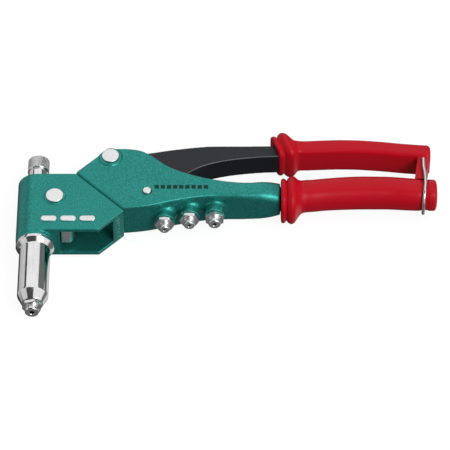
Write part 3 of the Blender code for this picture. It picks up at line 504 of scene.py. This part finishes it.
def make_head():
    """The swivelling head: round about the nose axis, cut off at the joint face, open in front."""
    outline = arc((0, 0), HEAD_RADIUS, 90, 270, 64)
    outline += [(REACH, -HEAD_RADIUS), (REACH, HEAD_RADIUS)]
    head = skin("head_shell", [[(x, y, z) for x, z in outline] for y in (-14.0, HEAD_BACK_Y)])
    corner = [(HEAD_CHAMFER - REACH, -REACH), (HEAD_CHAMFER + REACH, -REACH), (HEAD_CHAMFER + REACH, REACH)]
    cut(head, slab("face", beyond_swivel(0, 1), -REACH, REACH), slab("chamfer", corner, -REACH, REACH))
    join(head, rod("collar", HEAD_RADIUS - 0.3, (0, -16.5, 0), (0, -11, 0), 128))
    for sign in (1, -1):
        base, top = raised(CLAW_PIN, sign * 10.5), raised(CLAW_PIN, sign * 12.75)
        join(head, rod("boss", HEAD_BOSS_RADIUS, base, top, 96))
    cavity = [(15.2, -30), (48.3, -30), (48.3, 2.9), (25.7, 25.5), (-3, 25.5), (-3, 4), (15.2, -6.4)]
    cut(
        head,
        slab("cavity", cavity, -HEAD_CAVITY_HALF_Z, HEAD_CAVITY_HALF_Z),
        rod("sleeve_bore", 9.9, (0, -18, 0), (0, -5, 0)),
        rod("jaw_bore", 8.2, (0, -6, 0), (0, 25.2, 0)),
        rod("cap_bore", 6.3, (0, 24.7, 0), (0, 34, 0)),
        rod("pin_bore", PIN_HOLE, CLAW_PIN - UP, CLAW_PIN + UP),
        rod("spigot_bore", SPIGOT_BORE, on_swivel(-6), on_swivel(2)),
    )
    finish_piece(cast(head, 0.42, 2, 0.35), "head", GREEN, ["head_casting"], 0)


def make_head_marks():
    """Three plain raised bars where such tools carry a badge."""
    length, gap, half_y, low, high = 9.8, 2.2, 2.1, 12.15, 12.95
    start_x, y = 3.7, -5.3
    for i in range(3):
        x = start_x + i * (length + gap)
        outline = capsule((x + half_y, y), half_y, (x + length - half_y, y), half_y, 12)
        bar = slab(f"head_badge_bar_{i + 1}", outline, low, high)
        soften(bar, 0.2)
        finish_piece(bar, "head", SATIN)


def make_pin(name, at, head_radius, head_low, head_high, shank_low, body, nodes):
    """A headed pin with a soft rim, through the casting, and grooved for its clip."""
    profile = rounded(
        [
            (0, head_high),
            (head_radius, head_high, 0.55),
            (head_radius, head_low, 0.1),
            (4.0, head_low),
            (4.0, shank_low + 1.2),
            (3.4, shank_low + 1.2),
            (3.4, shank_low + 0.5),
            (4.0, shank_low + 0.5),
            (3.7, shank_low, 0.2),
            (0, shank_low),
        ]
    )
    pin = turned(name, profile, Matrix.Translation((at.x, at.y, 0)), 96)
    finish_piece(pin, body, SATIN, nodes)


def make_clip(name, at, outer, high, body, nodes):
    """A retaining clip with an opening, seen on the underside."""
    inner, low = 3.6, high - 0.6
    outline = arc((0, 0), outer, 25, 335, 60) + arc((0, 0), inner, 335, 25, 60)
    ring = slab(name, [(at.x + x, at.y + y) for x, y in outline], low, high)
    finish_piece(soften(ring, 0.1, 2), body, SATIN, nodes)


# --- nose -----------------------------------------------------------------------------------


def make_sleeve():
    """The polished nose sleeve: a flange with a chamfer, a long tube and a cone."""
    profile = rounded(
        [
            (9.6, -5.3, 0.3),
            (9.6, -16.8),
            (12.06, -16.8, 0.35),
            (12.06, -18.8, 0.35),
            (9.65, -21.6, 0.7),
            (9.65, -57.5, 0.5),
            (6.5, -64.0, 0.3),
            (4.5, -64.0, 0.2),
            (4.5, -60.0),
            (7.4, -57.0),
            (7.4, -5.3, 0.3),
        ]
    )
    sleeve = turned("sleeve_tube", profile, TO_Y, 128, closed=True)
    finish_piece(sleeve, "head", CHROME, ["nose_sleeve"])


def hex_radius(angle, turn):
    """How far a hexagon's edge is from its centre at an angle."""
    lean = (angle - turn) % (PI / 3) - PI / 6
    return HEX_ACROSS_FLATS / 2 / math.cos(lean)


def make_nosepiece(name, node, x, hex_front, tip_radius, hole, turn, body):
    """A screw-in nosepiece: stub, hexagon with chamfered corners, neck groove and drilled tip."""
    steps = 144
    angles = [2 * PI * i / steps for i in range(steps)]
    hex_back, tip_end = hex_front + HEX_LENGTH, hex_front - 3.9

    def ring(radius, y):
        return [(x + radius * math.cos(a), y, radius * math.sin(a)) for a in angles]

    def hex_ring(y, limit):
        spokes = [(min(hex_radius(a, turn), limit), a) for a in angles]
        return [(x + r * math.cos(a), y, r * math.sin(a)) for r, a in spokes]

    rings = [ring(3.7, hex_back + 6.2), ring(4.2, hex_back + 5.7), ring(4.2, hex_back)]
    narrow, wide, chamfer = HEX_ACROSS_FLATS / 2 - 0.1, HEX_ACROSS_FLATS / 2 + 0.9, 0.5
    for k in range(5):
        rings.append(hex_ring(hex_back - chamfer * k / 4, narrow + (wide - narrow) * k / 4))
    for k in range(5):
        rings.append(hex_ring(hex_front + chamfer * (1 - k / 4), wide + (narrow - wide) * k / 4))
    tip = rounded(
        [
            (tip_radius + 0.2, hex_front),
            (tip_radius + 0.2, hex_front - 1.0, 0.2),
            (tip_radius - 0.5, hex_front - 1.3, 0.2),
            (tip_radius - 0.5, hex_front - 1.7, 0.2),
            (tip_radius, hex_front - 2.0, 0.2),
            (tip_radius, tip_end + 0.5, 0.3),
            (tip_radius - 0.5, tip_end, 0.2),
            (hole + 0.25, tip_end, 0.1),
            (hole, tip_end + 0.3, 0.1),
            (hole, hex_back + 6.2),
        ]
    )
    rings += [ring(radius, y) for radius, y in tip]
    made = skin(name, rings, closed=True)
    look = NOSE_STEEL if body == "head" else SPARE_STEEL
    finish_piece(made, body, look, [node], 25)


def make_end_cap():
    """The knurled cap with its polished neck and flare."""
    radius, low, high, depth = 6.8, 43.5, 52.1, 0.32
    around, along, starts, pitch = 252, 56, 42, 1.05
    rings = []
    upper = rounded([(2.4, 49.5), (2.4, 52.6, 0.3), (radius - 0.5, 52.6, 0.4), (radius - 0.1, 52.2)])
    lower = rounded(
        [
            (radius - 0.1, 43.3),
            (6.2, 42.9, 0.2),
            (5.6, 42.8, 0.1),
            (5.6, 42.2, 0.1),
            (6.45, 41.6, 0.3),
            (6.45, 33.2, 0.4),
            (6.65, 32.6, 0.2),
            (6.65, 32.3, 0.1),
            (6.0, 32.3),
            (6.0, 25.8),
            (4.7, 25.8),
            (4.7, 48.5),
        ]
    )
    angles = [2 * PI * i / around for i in range(around)]

    def ring(heights, radii):
        return [TO_Y @ Vector((r * math.cos(a), r * math.sin(a), heights)) for r, a in zip(radii, angles)]

    def ridge(share):
        """A triangle wave: 1 on a diamond's middle line and 0 in a groove."""
        return 1 - abs(2 * (share % 1.0) - 1)

    for r, h in upper:
        rings.append(ring(h, [r] * around))
    for k in range(along + 1):
        h = high + (low - high) * k / along
        fade = min(1.0, (high - h) / 0.5, (h - low) / 0.5)
        radii = []
        for a in angles:
            first = ridge(a / (2 * PI) * starts + h / pitch)
            second = ridge(a / (2 * PI) * starts - h / pitch)
            height = min(first, second, 0.42) / 0.42
            radii.append(radius - depth * (1 - height) * max(0.0, fade))
        rings.append(ring(h, radii))
    for r, h in lower:
        rings.append(ring(h, [r] * around))
    cap = skin("end_cap_knurled", rings, closed=True)
    finish_piece(cap, "end_cap", KNURL_STEEL, ["end_cap"], 40)
    cap.data.materials.append(CHROME)
    plain_y = ORIGIN.y + (low - 0.2) * MM
    for face in cap.data.polygons:
        if face.center.y < plain_y:
            face.material_index = 1


def make_claw():
    """The bright lever that shows in the head's window."""
    pivot = (CLAW_PIN.x, CLAW_PIN.y)
    arm_end, fork_root, fork_tip = (19.95, -5.9), (8.6, 13.8), (0.48, 16.3)
    heel = [(15.8, -3.0), (15.8, -9.8, 0.8), (19.0, -10.0), (21.3, -9.5), (23.0, -8.2)]
    heel += [(23.9, -6.3), (24.0, -4.2), (23.2, -1.5)]
    lever = slab("claw_arm", capsule(pivot, 6.4, arm_end, 4.0), -CLAW_HALF_Z, CLAW_HALF_Z)
    join(
        lever,
        rod("eye", 6.45, (*pivot, -7.3), (*pivot, 7.3)),
        slab("fork", capsule(fork_root, 2.2, fork_tip, 1.5), -7.2, 7.2),
        rod("fork_tip", 2.6, (*fork_tip, -7.1), (*fork_tip, 7.1), 48),
        slab("heel", rounded(heel), -CLAW_HALF_Z, CLAW_HALF_Z),
    )
    slot = [(-6, 8), (6.6, 8), (6.6, 24), (-6, 24)]
    cut(lever, slab("slot", slot, -3.8, 3.8), rod("eye_bore", PIN_HOLE, (*pivot, -9), (*pivot, 9)))
    finish_piece(cast(lever, 0.25, 3, 0.5), "claw", SPARE_STEEL, ["claw_lever"], 0)


# --- body -----------------------------------------------------------------------------------

# x, low y, high y, half thickness, low corner radius, high corner radius
BODY_ROWS = (
    (56.0, 3.6, 53.1, 12.5, 1.0, 0.8),
    (63.2, 4.4, 52.0, 12.5, 1.0, 0.8),
    (70.1, 5.5, 48.5, 12.5, 1.0, 0.8),
    (77.0, 7.2, 42.6, 12.5, 1.0, 0.8),
    (82.2, 8.6, 38.4, 12.5, 1.1, 0.8),
    (90.1, 10.6, 34.2, 12.5, 1.2, 0.8),
    (97.9, 12.3, 31.1, 12.5, 1.4, 0.8),
    (105.8, 13.4, 28.7, 12.5, 1.9, 0.9),
    (113.6, 13.8, 27.0, 12.5, 2.5, 1.2),
    (120.5, 13.8, 26.1, 12.5, 3.0, 1.8),
    (127.5, 13.5, 25.8, 12.5, 3.6, 2.6),
    (134.0, 13.3, 26.2, 12.5, 4.4, 3.6),
    (140.0, 13.1, 27.5, 12.4, 5.2, 4.8),
    (146.5, 13.0, 28.7, 11.5, 6.0, 6.0),
    (152.7, 13.2, 29.4, 9.7, 6.6, 6.6),
)
# The tang inside the fixed grip, in the same columns
BODY_TANG = ((152.9, 14.9, 27.5, 7.3, 5.6, 5.6), (166.0, 16.9, 29.5, 7.3, 5.6, 5.6))
SPARES = (
    # size, axis x, hexagon's front y, tip radius, hole radius, hexagon's turn
    ("small", 80.3, -0.4, 3.2, 0.85, 0.0),
    ("medium", 95.8, 3.0, 3.45, 1.05, 0.0),
    ("large", 111.6, 4.05, 3.9, 1.3, PI / 6),
)


def body_ring(row):
    """The casting's cross-section at a row of BODY_ROWS."""
    x, low, high, half_z, low_radius, high_radius = row
    radii = (high_radius, low_radius, low_radius, high_radius)
    pairs = corner_ring((high - low) / 2, half_z, radii, 8)
    return [(x, (low + high) / 2 + a, b) for a, b in pairs]


def low_edge(x):
    """How low the casting reaches at x."""
    rows = smooth_rows(BODY_ROWS, 6)
    return float(np.interp(x, [row[0] for row in rows], [row[1] for row in rows]))


def channel_outline():
    """The channel between the two cheeks: open along the back for the moving handle."""
    corner_x = (63.2 - 4.9) / 2
    return [
        (corner_x, corner_x + 4.9),
        (56.2, 7.0),
        (67.1, 8.4),
        (77.5, 10.8),
        (87.7, 13.5),
        (98.0, 15.9),
        (104.0, 17.2),
        (109.5, 22.0),
        (112.0, 70.0),
        (20.0, 70.0),
        (28.6, 45.5),
        (34.5, 39.4),
    ]


def face_bevel(sign):
    """A wedge that takes the sharp edge off the body's joint face."""
    size, half_z = 1.1, BODY_HALF_Z * sign
    corners = [(-0.4, -size - 0.4), (-0.4, 1.0), (size + 1.0, 1.0)]
    rings = []
    for end in (-REACH, REACH):
        base = on_swivel(BODY_FACE_S) + ACROSS * end
        rings.append([base + DIAGONAL * s + Vector((0, 0, half_z + sign * z)) for s, z in corners])
    return skin("face_bevel", rings)


def spare_boss(x, hex_front):
    """The boss a spare nosepiece screws into, flared where it meets the casting."""
    seat = hex_front + HEX_LENGTH + 0.3
    wall = low_edge(x)
    flare = [(6.3, seat, 0.3), (6.3, wall - 1.6), (6.7, wall - 0.7), (7.6, wall + 0.2), (7.9, wall + 2.0)]
    profile = [(0, seat)] + rounded(flare) + [(0, wall + 2.0)]
    return turned("boss", [(r, -y) for r, y in profile], Matrix.Translation((x, 0, 0)) @ TO_Y.inverted(), 96)


def make_body():
    """The two-cheek casting with its tang, its bosses and the channel for the moving handle."""
    rows = [(20.0, 3.3, 53.1, 12.5, 1.0, 0.8)] + smooth_rows(BODY_ROWS, 6) + list(BODY_TANG)
    body = skin("body_shell", [body_ring(row) for row in rows])
    for _, x, hex_front, *_ in SPARES:
        join(body, spare_boss(x, hex_front))
    for sign, rise in ((1, 0.9), (-1, 0.5)):
        base, top = raised(MAIN_PIVOT, sign * 10.8), raised(MAIN_PIVOT, sign * (BODY_HALF_Z + rise))
        join(body, rod("pivot_boss", BODY_BOSS_RADIUS, base, top, 96))
    back = [(BODY_BACK_EDGE, 0), (REACH + BODY_BACK_EDGE, REACH), (BODY_BACK_EDGE, REACH)]
    cut(
        body,
        slab("face", beyond_swivel(BODY_FACE_S, -1), -REACH, REACH),
        slab("back", back, -REACH, REACH),
        slab("channel", channel_outline(), -BODY_CAVITY_HALF_Z, BODY_CAVITY_HALF_Z),
        face_bevel(1),
        face_bevel(-1),
        rod("pivot_bore", PIN_HOLE, MAIN_PIVOT - UP, MAIN_PIVOT + UP),
        rod("stop_bore", 2.9, STOP_PIN - UP, STOP_PIN + UP),
        rod("spigot_bore", SPIGOT_BORE, on_swivel(-1), on_swivel(6)),
    )
    for _, x, hex_front, *_ in SPARES:
        seat = hex_front + HEX_LENGTH
        cut(body, rod("thread", 4.5, (x, seat - 2, 0), (x, seat + 6.8, 0)))
    finish_piece(cast(body, 0.45, 2, 0.35), "frame", GREEN, ["body_casting"], 0)


def make_body_marks():
    """A row of plain dark dashes along the cheek."""
    count, length, half_y, y = 9, 2.7, 1.4, 20.8
    start_x, pitch, low, high = 74.0, 3.85, BODY_HALF_Z - 0.1, BODY_HALF_Z + 0.25
    for i in range(count):
        x = start_x + i * pitch
        outline = [(x, y - half_y), (x + length, y - half_y), (x + length, y + half_y), (x, y + half_y)]
        dash = soften(slab(f"body_dash_{i + 1}", outline, low, high), 0.12)
        finish_piece(dash, "frame", DARK_MARK)


def make_stop_pin():
    radius, end = 2.6, 13.4
    profile = rounded([(0, end), (radius, end, 0.5), (radius, -end, 0.5), (0, -end)])
    pin = turned("stop_pin_turned", profile, Matrix.Translation((STOP_PIN.x, STOP_PIN.y, 0)), 64)
    finish_piece(pin, "frame", SATIN, ["stop_pin"])


# --- grips ----------------------------------------------------------------------------------

# x, centre y, half y, half z, corner radius
FIXED_GRIP_ROWS = (
    (153.2, 19.8, 11.2, 11.6, 10.2),
    (153.5, 19.8, 12.8, 13.2, 11.8),
    (154.8, 19.9, 13.6, 13.9, 12.8),
    (156.0, 20.0, 13.0, 13.3, 12.2),
    (156.8, 20.1, 12.2, 12.5, 11.4),
    (157.8, 20.3, 13.6, 13.8, 12.8),
    (160.0, 20.5, 14.6, 14.7, 13.5),
    (162.0, 20.9, 13.9, 14.1, 13.0),
    (163.3, 21.4, 12.4, 12.7, 11.8),
    (164.6, 22.1, 11.1, 11.5, 10.6),
    (166.6, 23.2, 10.0, 10.4, 9.6),
    (169.0, 23.8, 9.8, 10.2, 9.3),
    (173.0, 24.1, 9.7, 10.2, 9.3),
    (181.0, 25.1, 9.7, 10.2, 9.3),
    (190.5, 25.9, 9.8, 10.3, 9.3),
    (205.0, 26.5, 9.9, 10.4, 9.4),
    (219.5, 26.4, 9.9, 10.3, 9.4),
    (232.0, 25.5, 9.8, 10.1, 9.2),
    (240.5, 24.9, 9.7, 9.8, 9.1),
    (242.2, 24.9, 9.3, 9.4, 8.8),
    (245.4, 24.8, 9.3, 9.4, 8.8),
    (246.6, 24.7, 9.6, 9.8, 9.1),
    (249.6, 24.6, 9.4, 9.6, 8.6),
    (250.8, 24.6, 8.4, 8.7, 7.6),
    (251.4, 24.6, 6.6, 6.9, 5.8),
)

# centre x, centre y, half y, half z, corner radius, backward slant in degrees
LEVER_GRIP_ROWS = (
    (149.7, 57.5, 8.4, 11.6, 6.0, 19),
    (150.1, 57.5, 9.3, 12.5, 6.8, 19),
    (151.3, 57.7, 9.6, 12.8, 7.0, 19),
    (152.4, 57.8, 9.2, 12.4, 6.8, 19),
    (153.4, 58.0, 8.7, 11.9, 6.4, 19),
    (154.7, 58.3, 9.7, 13.2, 6.2, 19),
    (156.6, 58.5, 10.2, 14.0, 6.0, 18),
    (158.4, 58.5, 10.0, 13.7, 5.8, 17),
    (160.0, 58.4, 9.0, 12.8, 5.2, 17),
    (161.6, 58.2, 7.3, 11.6, 4.3, 17),
    (163.2, 58.0, 6.0, 10.5, 3.4, 16),
    (165.6, 57.9, 5.5, 10.0, 3.0, 10),
    (169.0, 57.8, 5.3, 9.9, 2.9, 0),
    (180.0, 58.3, 5.3, 9.9, 2.8, 0),
    (191.2, 58.7, 5.3, 9.9, 2.8, 0),
    (201.0, 58.5, 5.3, 9.9, 2.8, 0),
    (210.6, 57.8, 5.3, 9.9, 2.8, 0),
    (220.5, 56.8, 5.3, 9.9, 2.8, 0),
    (229.9, 55.6, 5.3, 9.9, 2.8, 0),
    (238.0, 54.8, 5.3, 9.9, 2.8, 0),
    (245.4, 54.2, 5.3, 9.9, 2.8, 0),
    (247.3, 54.1, 4.9, 9.5, 2.8, 0),
    (248.2, 54.0, 4.0, 8.6, 2.6, 0),
)


def grip_ring(row):
    """A grip's cross-section at a row, leaned back by the slant where the row has one."""
    x, y, half_y, half_z, radius, *slant = row
    lean = math.radians(slant[0]) if slant else 0.0
    pairs = corner_ring(half_y, half_z, (radius,) * 4, 10)
    return [(x - a * math.sin(lean), y + a * math.cos(lean), b) for a, b in pairs]


def shrunk(row, wall):
    """The same ring with its outline moved in by wall."""
    x, y, half_y, half_z, radius, *slant = row
    return (x, y, half_y - wall, half_z - wall, max(radius - wall, 0.5), *slant)


def make_fixed_grip():
    """The dipped grip over the tang, with its guard, its waist for the latch and its hollow mouth."""
    rings = [grip_ring(row) for row in smooth_rows(FIXED_GRIP_ROWS, 5)]
    first, last = FIXED_GRIP_ROWS[0], FIXED_GRIP_ROWS[-1]
    mouth = [grip_ring((153.2, 21.0, 8.4, 9.6, 7.0)), grip_ring((156.5, 21.5, 6.8, 7.8, 6.0))]
    inner = [grip_ring(shrunk(first, 1.2)), *mouth]
    rounding = [grip_ring(shrunk(last, wall)) for wall in (1.6, 4.0)]
    grip = skin("fixed_grip_dipped", inner[::-1] + rings + rounding)
    finish_piece(grip, "frame", RED, ["fixed_grip"], 0)


def make_lever_grip():
    """The flat dipped grip of the moving handle, with the lug that rests on the fixed grip."""
    rings = [grip_ring(row) for row in smooth_rows(LEVER_GRIP_ROWS, 5)]
    first, last = LEVER_GRIP_ROWS[0], LEVER_GRIP_ROWS[-1]
    lips = [grip_ring(shrunk(first, 0.9)), grip_ring((150.4, 55.6, 5.2, 8.6, 1.2, 19))]
    inner = lips + [grip_ring((156.0, 55.0, 4.8, 8.2, 0.8, 0))]
    end = [grip_ring(shrunk(last, 2.2))]
    grip = skin("lever_grip_bar", inner[::-1] + rings + end)
    lug = [(240.4, 51.5), (237.4, 30.5), (244.6, 30.5), (247.7, 51.5)]
    join(grip, slab("lug", rounded([(x, y, 0.7) for x, y in lug]), -8.6, 8.6))
    cut(
        grip,
        rod("wire_hole", 1.3, LATCH_PIVOT - UP, LATCH_PIVOT + UP, 32),
        rod("saddle", SADDLE_RADIUS, (230, FIXED_GRIP_END_Y, 0), (255, FIXED_GRIP_END_Y, 0), 128),
    )
    finish_piece(grip, "handle", RED, ["lever_grip"], 40)


# --- moving handle and latch ----------------------------------------------------------------


def make_lever():
    """The black moving handle: an eye on the main pivot, a cheek for the roller and a curved bar."""
    eye = arc(MAIN_PIVOT, 6.0, 80, 215, 24)
    cheek = arc(ROLLER, 4.3, 190, 300, 16)
    belly = ((61.5, 25.6), (66.0, 22.6), (70.5, 21.4), (77.0, 23.0), (86.0, 28.6))
    front = ((95.5, 37.0), (102.0, 41.2), (108.3, 44.0), (118.0, 46.7), (127.6, 48.4), (142.2, 50.0))
    front += ((155.6, 50.6),)
    back = ((155.6, 59.3), (127.6, 59.2), (117.0, 59.2), (108.3, 59.0), (97.7, 57.9), (83.0, 55.7))
    back += ((70.0, 53.2), (58.0, 51.8))
    outline = eye + cheek + smooth_rows(belly + front, 5) + smooth_rows(back, 5)
    lever = slab("lever_bar", outline, -LEVER_HALF_Z, LEVER_HALF_Z)
    slot = arc(ROLLER, 5.6, 0, 135, 20) + [(40, 26), (53, 18)]
    cut(
        lever,
        slab("roller_slot", slot, -4.0, 4.0),
        rod("eye_bore", PIN_HOLE, MAIN_PIVOT - UP, MAIN_PIVOT + UP),
        rod("roller_bore", 2.3, ROLLER - UP, ROLLER + UP, 40),
    )
    finish_piece(cast(lever, 0.42, 3, 0.35), "handle", BLACK, ["lever_handle"], 0)


def make_latch():
    """The wire bail: its ends turn in the lug, and its bow passes round the fixed grip."""
    half, bend, grip_y, radius = 11.2, 1.6, 24.8, 1.0
    side = [(LATCH_PIVOT.x, LATCH_PIVOT.y, 5.4)]
    for i in range(9):
        angle = PI / 2 * i / 8
        y = LATCH_PIVOT.y - bend * (1 - math.cos(angle))
        side.append((LATCH_PIVOT.x, y, half - bend + bend * math.sin(angle)))
    side += [(243.3, 38.5, half), (243.9, 34.0, half), (244.0, 29.0, half)]
    bow = []
    for i in range(25):
        angle = PI * i / 24
        drop = math.sin(angle)
        bow.append((244.0 - 1.5 * drop, grip_y - (half + 0.6) * drop, half * math.cos(angle)))
    points = side + bow + [(x, y, -z) for x, y, z in reversed(side)]
    curve = bpy.data.curves.new("latch_wire", "CURVE")
    curve.dimensions = "3D"
    curve.bevel_depth = radius
    curve.bevel_resolution = 5
    curve.use_fill_caps = True
    spline = curve.splines.new("POLY")
    spline.points.add(len(points) - 1)
    for point, place in zip(spline.points, points):
        point.co = (*place, 1)
    guide = bpy.data.objects.new("latch_guide", curve)
    bpy.context.scene.collection.objects.link(guide)
    bpy.context.view_layer.update()
    mesh = bpy.data.meshes.new_from_object(guide.evaluated_get(bpy.context.evaluated_depsgraph_get()))
    bpy.data.objects.remove(guide)
    bm = bmesh.new()
    bm.from_mesh(mesh)
    bmesh.ops.remove_doubles(bm, verts=bm.verts, dist=0.0005)
    wire = new_object("latch_wire", bm)
    finish_piece(wire, "latch", WIRE, ["latch_bail"], 50)


# --- assembly -------------------------------------------------------------------------------

make_head()
make_head_marks()
make_pin(
    "claw_pin_turned",
    CLAW_PIN,
    head_radius=5.5,
    head_low=13.05,
    head_high=14.0,
    shank_low=-14.25,
    body="head",
    nodes=["claw_pivot_pin"],
)
make_clip("claw_clip_ring", CLAW_PIN, outer=5.5, high=-13.1, body="head", nodes=["claw_pivot_clip"])
make_sleeve()
make_nosepiece(
    "nosepiece_fitted",
    "fitted_nosepiece",
    x=0.0,
    hex_front=-66.7,
    tip_radius=4.4,
    hole=1.6,
    turn=PI / 12,
    body="head",
)
make_end_cap()
make_claw()
make_body()
make_body_marks()
make_pin(
    "main_pin_turned",
    MAIN_PIVOT,
    head_radius=5.4,
    head_low=13.7,
    head_high=14.6,
    shank_low=-14.5,
    body="frame",
    nodes=["main_pivot_pin"],
)
make_clip("main_clip_ring", MAIN_PIVOT, outer=5.4, high=-13.35, body="frame", nodes=["main_pivot_clip"])
make_stop_pin()
for size, *shape in SPARES:
    make_nosepiece("nosepiece_" + size, "spare_nosepiece_" + size, *shape, body="frame")
make_fixed_grip()
make_lever()
make_lever_grip()
make_latch()

# The CAD nodes that stay in view or inside take a finished look too
LOOKS = {"polished_steel": CHROME, "satin_pin": SATIN, "machined_steel": STEEL, "spring_wire": WIRE}
for part in frame["record"]["subparts"]:
    look = LOOKS.get(part["material_slot"])
    if look:
        mesh = frame["nodes"][part["node"]].data
        mesh.materials.clear()
        mesh.materials.append(look)


# --- floor, light and camera ----------------------------------------------------------------


def make_floor():
    """A pale floor that lights and mirrors nothing, so that only the studio does."""
    bm = bmesh.new()
    bmesh.ops.create_grid(bm, x_segments=1, y_segments=1, size=6.0)
    floor = new_object("floor", bm)
    paper = new_material("pale_paper", Roughness=1.0, Emission_Color=(1, 1, 1, 1), Emission_Strength=0.9)
    to_color(paper, ramp(paper, noise(paper, 3.0), 0, [(0.0, (0.14, 0.14, 0.14)), (1.0, (0.16, 0.16, 0.16))]))
    floor.data.materials.append(paper)
    floor.visible_diffuse = False
    floor.visible_glossy = False


def make_lamp(name, at, aim, size, power):
    data = bpy.data.lights.new(name, "AREA")
    data.shape = "RECTANGLE"
    data.size, data.size_y = size
    data.energy = power
    lamp = bpy.data.objects.new(name, data)
    lamp.location = at
    lamp.rotation_euler = (Vector(aim) - Vector(at)).to_track_quat("-Z", "Y").to_euler()
    bpy.context.scene.collection.objects.link(lamp)


def make_world():
    """Studio walls: bands around the Y axis, with a dark card in front between two pale panels."""
    world = bpy.data.worlds.new("studio")
    bpy.context.scene.world = world
    world.use_nodes = True
    nodes, links = world.node_tree.nodes, world.node_tree.links

    def math_node(operation, *sources):
        made = nodes.new("ShaderNodeMath")
        made.operation = operation
        for source, socket in zip(sources, made.inputs):
            links.new(source, socket)
        return made

    def share(source, low, high):
        """0 at low and 1 at high."""
        made = nodes.new("ShaderNodeMapRange")
        made.inputs["From Min"].default_value = low
        made.inputs["From Max"].default_value = high
        links.new(source, made.inputs["Value"])
        return made.outputs[0]

    def grey_ramp(source, stops):
        made = nodes.new("ShaderNodeValToRGB")
        elements = made.color_ramp.elements
        while len(elements) < len(stops):
            elements.new(0.5)
        for element, (position, value) in zip(elements, stops):
            element.position = position
            element.color = (value, value, value, 1)
        links.new(source, made.inputs["Fac"])
        return made.outputs["Color"]

    def blend(amount, first, second):
        """Mixes two colours by amount, where first is a socket or a plain grey."""
        made = nodes.new("ShaderNodeMix")
        made.data_type = "RGBA"
        links.new(amount, made.inputs[0])
        links.new(second, made.inputs[7])
        if isinstance(first, float):
            made.inputs[6].default_value = (first, first, first, 1)
        else:
            links.new(first, made.inputs[6])
        return made.outputs[2]

    split = nodes.new("ShaderNodeSeparateXYZ")
    links.new(nodes.new("ShaderNodeTexCoord").outputs["Generated"], split.inputs[0])
    x, y, z = split.outputs

    # Brightness by the angle from straight up, towards +X, in degrees
    stops = [(-180, 0.05), (-126, 0.05), (-120, 0.5), (-66, 0.66), (-61, 0.05), (-50, 0.05)]
    stops += [(-46, 0.95), (37, 0.95), (43, 0.15), (118, 0.18), (124, 0.65), (150, 0.65), (180, 0.05)]
    angle = share(math_node("ARCTAN2", x, z).outputs[0], -PI, PI)
    bands = grey_ramp(angle, [((degrees + 180) / 360, value) for degrees, value in stops])

    # In front: the pale panels and the dark card by X, above a dim ground
    across = [(-0.72, 0.7), (-0.64, 0.07), (0.10, 0.07), (0.18, 0.92)]
    card = grey_ramp(share(x, -1, 1), [((place + 1) / 2, value) for place, value in across])
    ground = 0.16
    front = blend(share(z, -0.15, 0.05), ground, card)

    # The front wins where Y is low, and further back towards the sides
    leaning = math_node("MULTIPLY_ADD", math_node("ABSOLUTE", x).outputs[0])
    leaning.inputs[1].default_value = -0.25
    links.new(y, leaning.inputs[2])
    room = blend(share(leaning.outputs[0], -0.2, -0.1), front, bands)
    links.new(room, nodes["Background"].inputs["Color"])


def make_camera():
    """Looking along +Y and down, from two metres, through a long lens."""
    elevation, distance, aim_x = math.radians(49.5), 2.089, 118.1
    focal_length, sensor_width = 267.4, 36.0
    aim = ORIGIN + Vector((aim_x * MM, 0, 0))
    data = bpy.data.cameras.new("camera")
    data.lens = focal_length
    data.sensor_width = sensor_width
    camera = bpy.data.objects.new("camera", data)
    camera.location = aim + Vector((0, -math.cos(elevation), math.sin(elevation))) * distance
    camera.rotation_euler = (PI / 2 - elevation, 0, 0)
    bpy.context.scene.collection.objects.link(camera)
    bpy.context.scene.camera = camera


make_floor()
make_world()
make_lamp("key", at=(0.81, -1.08, 1.19), aim=(0, 0, 0), size=(0.7, 0.7), power=13.0)
make_camera()
bpy.context.scene.view_settings.view_transform = "Standard"
